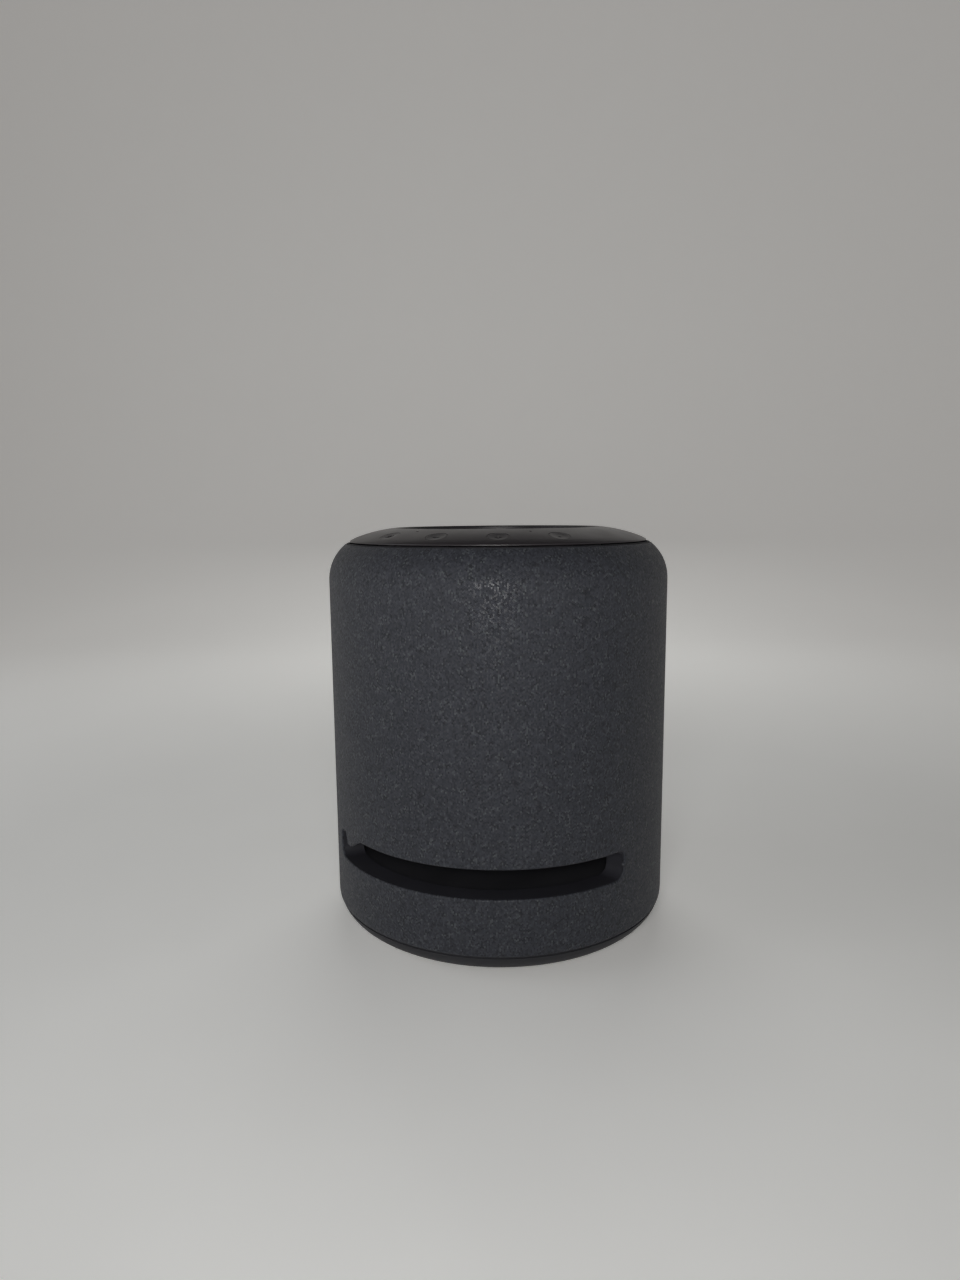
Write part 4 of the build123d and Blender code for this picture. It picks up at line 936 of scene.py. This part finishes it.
def make_cap(name, azimuth):
    turn = math.radians(azimuth)
    outward = Vector((math.sin(turn), -math.cos(turn), 0))
    normal = outward * math.sin(RING_SLOPE) + Vector((0, 0, math.cos(RING_SLOPE)))
    right = Vector((math.cos(turn), math.sin(turn), 0))
    away = normal.cross(right)
    radius, z = ring_section(ring_along(BUTTON_CIRCLE), 0.0)
    origin = outward * radius + Vector((0, 0, z))
    lean = crown_slope(BUTTON_CIRCLE) - RING_SLOPE
    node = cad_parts[name + "_button"]
    bottom = min((vertex.co - origin).dot(normal) for vertex in node.data.vertices)
    build = Builder()
    loops = []
    for radius, height in cap_section(bottom):
        loop = []
        for k in range(CAP_STEPS if radius else 1):
            x, y = (radius * f(2 * math.pi * k / CAP_STEPS) for f in (math.cos, math.sin))
            level = height
            if level is None:
                level = -BUTTON_RECESS - BUTTON_DISH * (1 - (radius / BUTTON_DISH_RADIUS) ** 2)
                level += SIGN_HEIGHT * smooth(-sign_distance(name, x, y), -SIGN_EDGE / 2, SIGN_EDGE / 2)
            if level > BUTTON_FLANGE[1]:
                level += crown_height(lean, y)
            loop.append(build.add(origin + right * x + away * y + normal * level))
        loops.append(loop)
    hub = loops[0][0]
    for k in range(CAP_STEPS):
        build.faces.append((hub, loops[1][k], loops[1][(k + 1) % CAP_STEPS]))
    for first, second in zip(loops[1:], loops[2:]):
        build.bridge(second, first)
    build.faces.append(tuple(loops[-1][::-1]))
    build.make(name + "_cap", "button_plastic", name + "_key", [name + "_button"])


# Light ring: a smoked strip with rounded shoulders that lies in the gap beside the cloth

STRIP_EDGE = 0.4 * MM


def make_strip():
    low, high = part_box("light_ring")
    outer, inner = high.x, LIGHT_INNER
    section = [(inner, low.z)]
    for centre, first in ((inner + STRIP_EDGE, 180), (outer - STRIP_EDGE, 90)):
        for k in range(ARC_STEPS + 1):
            turn = math.radians(first - 90 * k / ARC_STEPS)
            section.append((centre + STRIP_EDGE * math.cos(turn), high.z - STRIP_EDGE * (1 - math.sin(turn))))
    section.append((outer, low.z))
    build = Builder()
    loops = []
    for radius, z in section:
        turns = [2 * math.pi * k / CLOTH_COLUMNS for k in range(CLOTH_COLUMNS)]
        loops.append([build.add((radius * math.cos(turn), radius * math.sin(turn), z)) for turn in turns])
    for first, second in zip(loops, loops[1:] + loops[:1]):
        build.bridge(second, first)
    build.make("light_strip", "light_diffuser", "cabinet", ["light_ring"])


# Woofer spider: a corrugated cloth ring, in sectors that each reach from the basket's ledge to the moving coil

SPIDER_INNER = 15.85 * MM
SPIDER_LIP = 3 * MM
SPIDER_SHEET = 0.6 * MM
SPIDER_WAVE = 1 * MM
SPIDER_WAVES = 4
SPIDER_STEP = 0.4 * MM
SPIDER_SECTORS = 6
SPIDER_COLUMN = 2.5


def spider_section():
    """Radius and height of the spider's lower face: a flat lip at both edges and even waves between them."""
    low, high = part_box("woofer_spider")
    waves_from, waves_to = SPIDER_INNER + SPIDER_LIP, high.x - SPIDER_LIP
    level = (low.z + high.z - SPIDER_SHEET) / 2
    section = []
    for radius in spread(SPIDER_INNER, high.x, SPIDER_STEP) + [high.x]:
        share = min(1.0, max(0.0, (radius - waves_from) / (waves_to - waves_from)))
        section.append((radius, level + SPIDER_WAVE * math.sin(2 * math.pi * SPIDER_WAVES * share)))
    return section, waves_from, waves_to


def make_spider():
    section, moving, held = spider_section()
    half = 180 / SPIDER_SECTORS
    columns = round(2 * half / SPIDER_COLUMN)
    for sector in range(SPIDER_SECTORS):
        middle = 2 * half * sector
        build = Builder()
        loops = []
        for k in range(columns + 1):
            turn = math.radians(middle - half + k * SPIDER_COLUMN)
            across = math.cos(turn), math.sin(turn)
            under = [build.add((r * across[0], r * across[1], z)) for r, z in section]
            over = [build.add((r * across[0], r * across[1], z + SPIDER_SHEET)) for r, z in section]
            loops.append(under + over[::-1])
        for first, second in zip(loops, loops[1:]):
            build.bridge(second, first)
        count = len(loops[0])
        for k in range(count // 2 - 1):
            build.faces.append(tuple(loops[0][n] for n in (k, k + 1, count - 2 - k, count - 1 - k)))
            build.faces.append(tuple(loops[-1][n] for n in (k, count - 1 - k, count - 2 - k, k + 1)))
        piece = build.make(f"spider_sector_{sector + 1}", "spider_cloth", None, ["woofer_spider"])
        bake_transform(piece)


# Contacts of the rear sockets: steps in a quarter turn around a bar and over its tip

CONTACT_ARC = 8
TIP_STEPS = 4


def add_contact(build, centre_x, half_width, half_height, corner, root_y, tip_y):
    """A rounded bar that points out of a socket, with a rounded tip and a closed root."""
    levels = [(root_y, 0.0)]
    for k in range(TIP_STEPS + 1):
        turn = math.radians(90 * k / TIP_STEPS)
        levels.append((tip_y - CONTACT_EDGE * (1 - math.sin(turn)), CONTACT_EDGE * (1 - math.cos(turn))))
    loops = []
    for y, inset in levels:
        loop = []
        for k in range(4 * CONTACT_ARC):
            turn = math.radians((k + 0.5) * 90 / CONTACT_ARC)
            x = math.copysign(half_width - corner, math.cos(turn)) + (corner - inset) * math.cos(turn)
            z = math.copysign(half_height - corner, math.sin(turn)) + (corner - inset) * math.sin(turn)
            loop.append(build.add((centre_x + x, y, SOCKET_Z + z)))
        loops.append(loop)
    for first, second in zip(loops, loops[1:]):
        build.bridge(second, first)
    build.faces.append(tuple(loops[0]))
    build.faces.append(tuple(loops[-1][::-1]))


def make_contacts():
    pins = Builder()
    radius = INLET_PIN_RADIUS
    for x in INLET_PIN_X:
        add_contact(pins, x, radius, radius, radius, SOCKET_FLOOR_Y, INLET_PIN_TIP_Y)
    pins.make("inlet_pins", "socket_metal", "cabinet")
    tongue = Builder()
    add_contact(tongue, TONGUE_X, *TONGUE_HALF, CONTACT_EDGE, TONGUE_ROOT_Y, TONGUE_TIP_Y)
    tongue.make("port_tongue", "socket_plastic", "cabinet")


# Stage, light and camera


def turned(x, y, z=0.0):
    """A point given in the camera's own bearing, right and away, in the part's frame."""
    turn = math.radians(VIEW_AZIMUTH)
    return Vector((x * math.cos(turn) - y * math.sin(turn), x * math.sin(turn) + y * math.cos(turn), z))


def make_stage():
    """A pale sweep: floor, a wide cove behind the object and a wall."""
    cove_start = SWEEP_BACK - SWEEP_COVE
    profile = [(SWEEP_FRONT, 0.0), (cove_start, 0.0)]
    for k in range(1, COVE_STEPS + 1):
        turn = math.radians(90 * k / COVE_STEPS)
        profile.append((cove_start + SWEEP_COVE * math.sin(turn), SWEEP_COVE - SWEEP_COVE * math.cos(turn)))
    profile.append((SWEEP_BACK, SWEEP_TOP))
    mesh = bpy.data.meshes.new("studio_sweep")
    points = [turned(x, y, z) for y, z in profile for x in (-SWEEP_HALF_WIDTH, SWEEP_HALF_WIDTH)]
    faces = [(2 * k, 2 * k + 1, 2 * k + 3, 2 * k + 2) for k in range(len(profile) - 1)]
    mesh.from_pydata(points, [], faces)
    mesh.polygons.foreach_set("use_smooth", [True] * len(faces))
    sweep = bpy.data.objects.new("studio_sweep", mesh)
    bpy.context.scene.collection.objects.link(sweep)
    sweep.data.materials.append(studio_paper())


def studio_paper():
    """Pale matt paper that shows brighter, in view and mirrored, than the light it throws on the object."""
    g = Graph("studio_paper")
    mottled = g.noise(g.place(), PAPER_MOTTLE, detail=3)
    paper = g.ramp(mottled, (0.3, linear(163, 164, 163)), (0.7, linear(165, 166, 165)))
    rays = g.node("ShaderNodeLightPath")
    in_view, mirrored = rays.outputs["Is Camera Ray"], rays.outputs["Is Glossy Ray"]
    gain = g.remap(g.math("MAXIMUM", in_view, mirrored), 1.0, PAPER_GAIN)
    brighter = g.node("ShaderNodeVectorMath", {"operation": "SCALE"}, Vector=paper, Scale=gain).outputs[0]
    away = g.node("ShaderNodeVectorMath", {"operation": "LENGTH"}, Vector=g.place()).outputs["Value"]
    glow = g.math(
        "MULTIPLY",
        g.remap(away, NEAR_GLOW, FAR_GLOW, *GLOW_DISTANCES),
        g.math("MULTIPLY_ADD", mirrored, MIRRORED_GLOW, in_view),
    )
    return g.finish(
        Base_Color=brighter, Roughness=0.8, Specular_IOR_Level=0.1,
        Emission_Color=linear(255, 251, 246), Emission_Strength=glow,
    )


def make_lamps():
    """Soft round lamps. One that isn't mirrored leaves no bright spot on glossy surfaces."""
    for name, lamp in LAMPS.items():
        data = bpy.data.lights.new(name, "AREA")
        data.shape = "DISK"
        data.size = lamp.size
        data.energy = lamp.power
        data.color = lamp.colour
        obj = bpy.data.objects.new(name, data)
        obj.location = turned(*lamp.place)
        obj.rotation_mode = "QUATERNION"
        obj.rotation_quaternion = (Vector((0, 0, lamp.aim_z)) - obj.location).to_track_quat("-Z", "Y")
        obj.visible_glossy = lamp.mirrored
        bpy.context.scene.collection.objects.link(obj)


def make_world():
    """A pale sky that shows brighter than it lights, and darkens overhead."""
    world = bpy.data.worlds.new("studio_world")
    world.use_nodes = True
    tree = world.node_tree
    rays = tree.nodes.new("ShaderNodeLightPath")
    shown = rays.outputs["Is Camera Ray"]
    for ray in ("Is Glossy Ray", "Is Transmission Ray"):
        either = tree.nodes.new("ShaderNodeMath")
        either.operation = "MAXIMUM"
        tree.links.new(shown, either.inputs[0])
        tree.links.new(rays.outputs[ray], either.inputs[1])
        shown = either.outputs[0]
    place = tree.nodes.new("ShaderNodeTexCoord")
    split = tree.nodes.new("ShaderNodeSeparateXYZ")
    tree.links.new(place.outputs["Generated"], split.inputs[0])
    fade = tree.nodes.new("ShaderNodeMapRange")
    for index, number in zip((1, 2, 3, 4), (*SKY_FADE, SKY_SHOWN, SKY_OVERHEAD)):
        fade.inputs[index].default_value = number
    tree.links.new(split.outputs["Z"], fade.inputs["Value"])
    level = tree.nodes.new("ShaderNodeMapRange")
    level.inputs["To Min"].default_value = SKY_LIGHT
    tree.links.new(fade.outputs[0], level.inputs["To Max"])
    tree.links.new(shown, level.inputs["Value"])
    sky = tree.nodes["Background"]
    sky.inputs["Color"].default_value = SKY_COLOUR
    tree.links.new(level.outputs[0], sky.inputs["Strength"])
    bpy.context.scene.world = world


def make_camera():
    """The photograph's camera: level bearing, then pitch, then roll about its own line of sight."""
    pitch, yaw, roll = (math.radians(a) for a in (VIEW_PITCH, VIEW_YAW, VIEW_ROLL))
    ahead = Vector((math.sin(yaw), math.cos(yaw), 0))
    right = Vector((math.cos(yaw), -math.sin(yaw), 0))
    forward = ahead * math.cos(pitch) - Vector((0, 0, 1)) * math.sin(pitch)
    up = ahead * math.sin(pitch) + Vector((0, 0, 1)) * math.cos(pitch)
    tilted_right = right * math.cos(roll) + up * math.sin(roll)
    tilted_up = up * math.cos(roll) - right * math.sin(roll)
    axes = [turned(*v) for v in (tilted_right, tilted_up, -forward)]
    data = bpy.data.cameras.new("camera")
    data.sensor_fit = "AUTO"
    data.sensor_width = SENSOR
    data.lens = FOCAL_PIXELS / IMAGE_LONG_SIDE * SENSOR
    data.clip_start = NEAR_CLIP
    camera = bpy.data.objects.new("camera", data)
    place = Matrix.Translation(turned(0, -VIEW_DISTANCE, VIEW_HEIGHT))
    camera.matrix_world = place @ Matrix(axes).transposed().to_4x4()
    bpy.context.scene.collection.objects.link(camera)
    bpy.context.scene.camera = camera


make_sleeve()
make_spider()
make_contacts()
make_ring()
for button, button_azimuth in BUTTON_AZIMUTHS.items():
    make_cap(button, button_azimuth)
make_strip()
make_stage()
make_lamps()
make_world()
make_camera()
bpy.context.scene.view_settings.view_transform = "Standard"
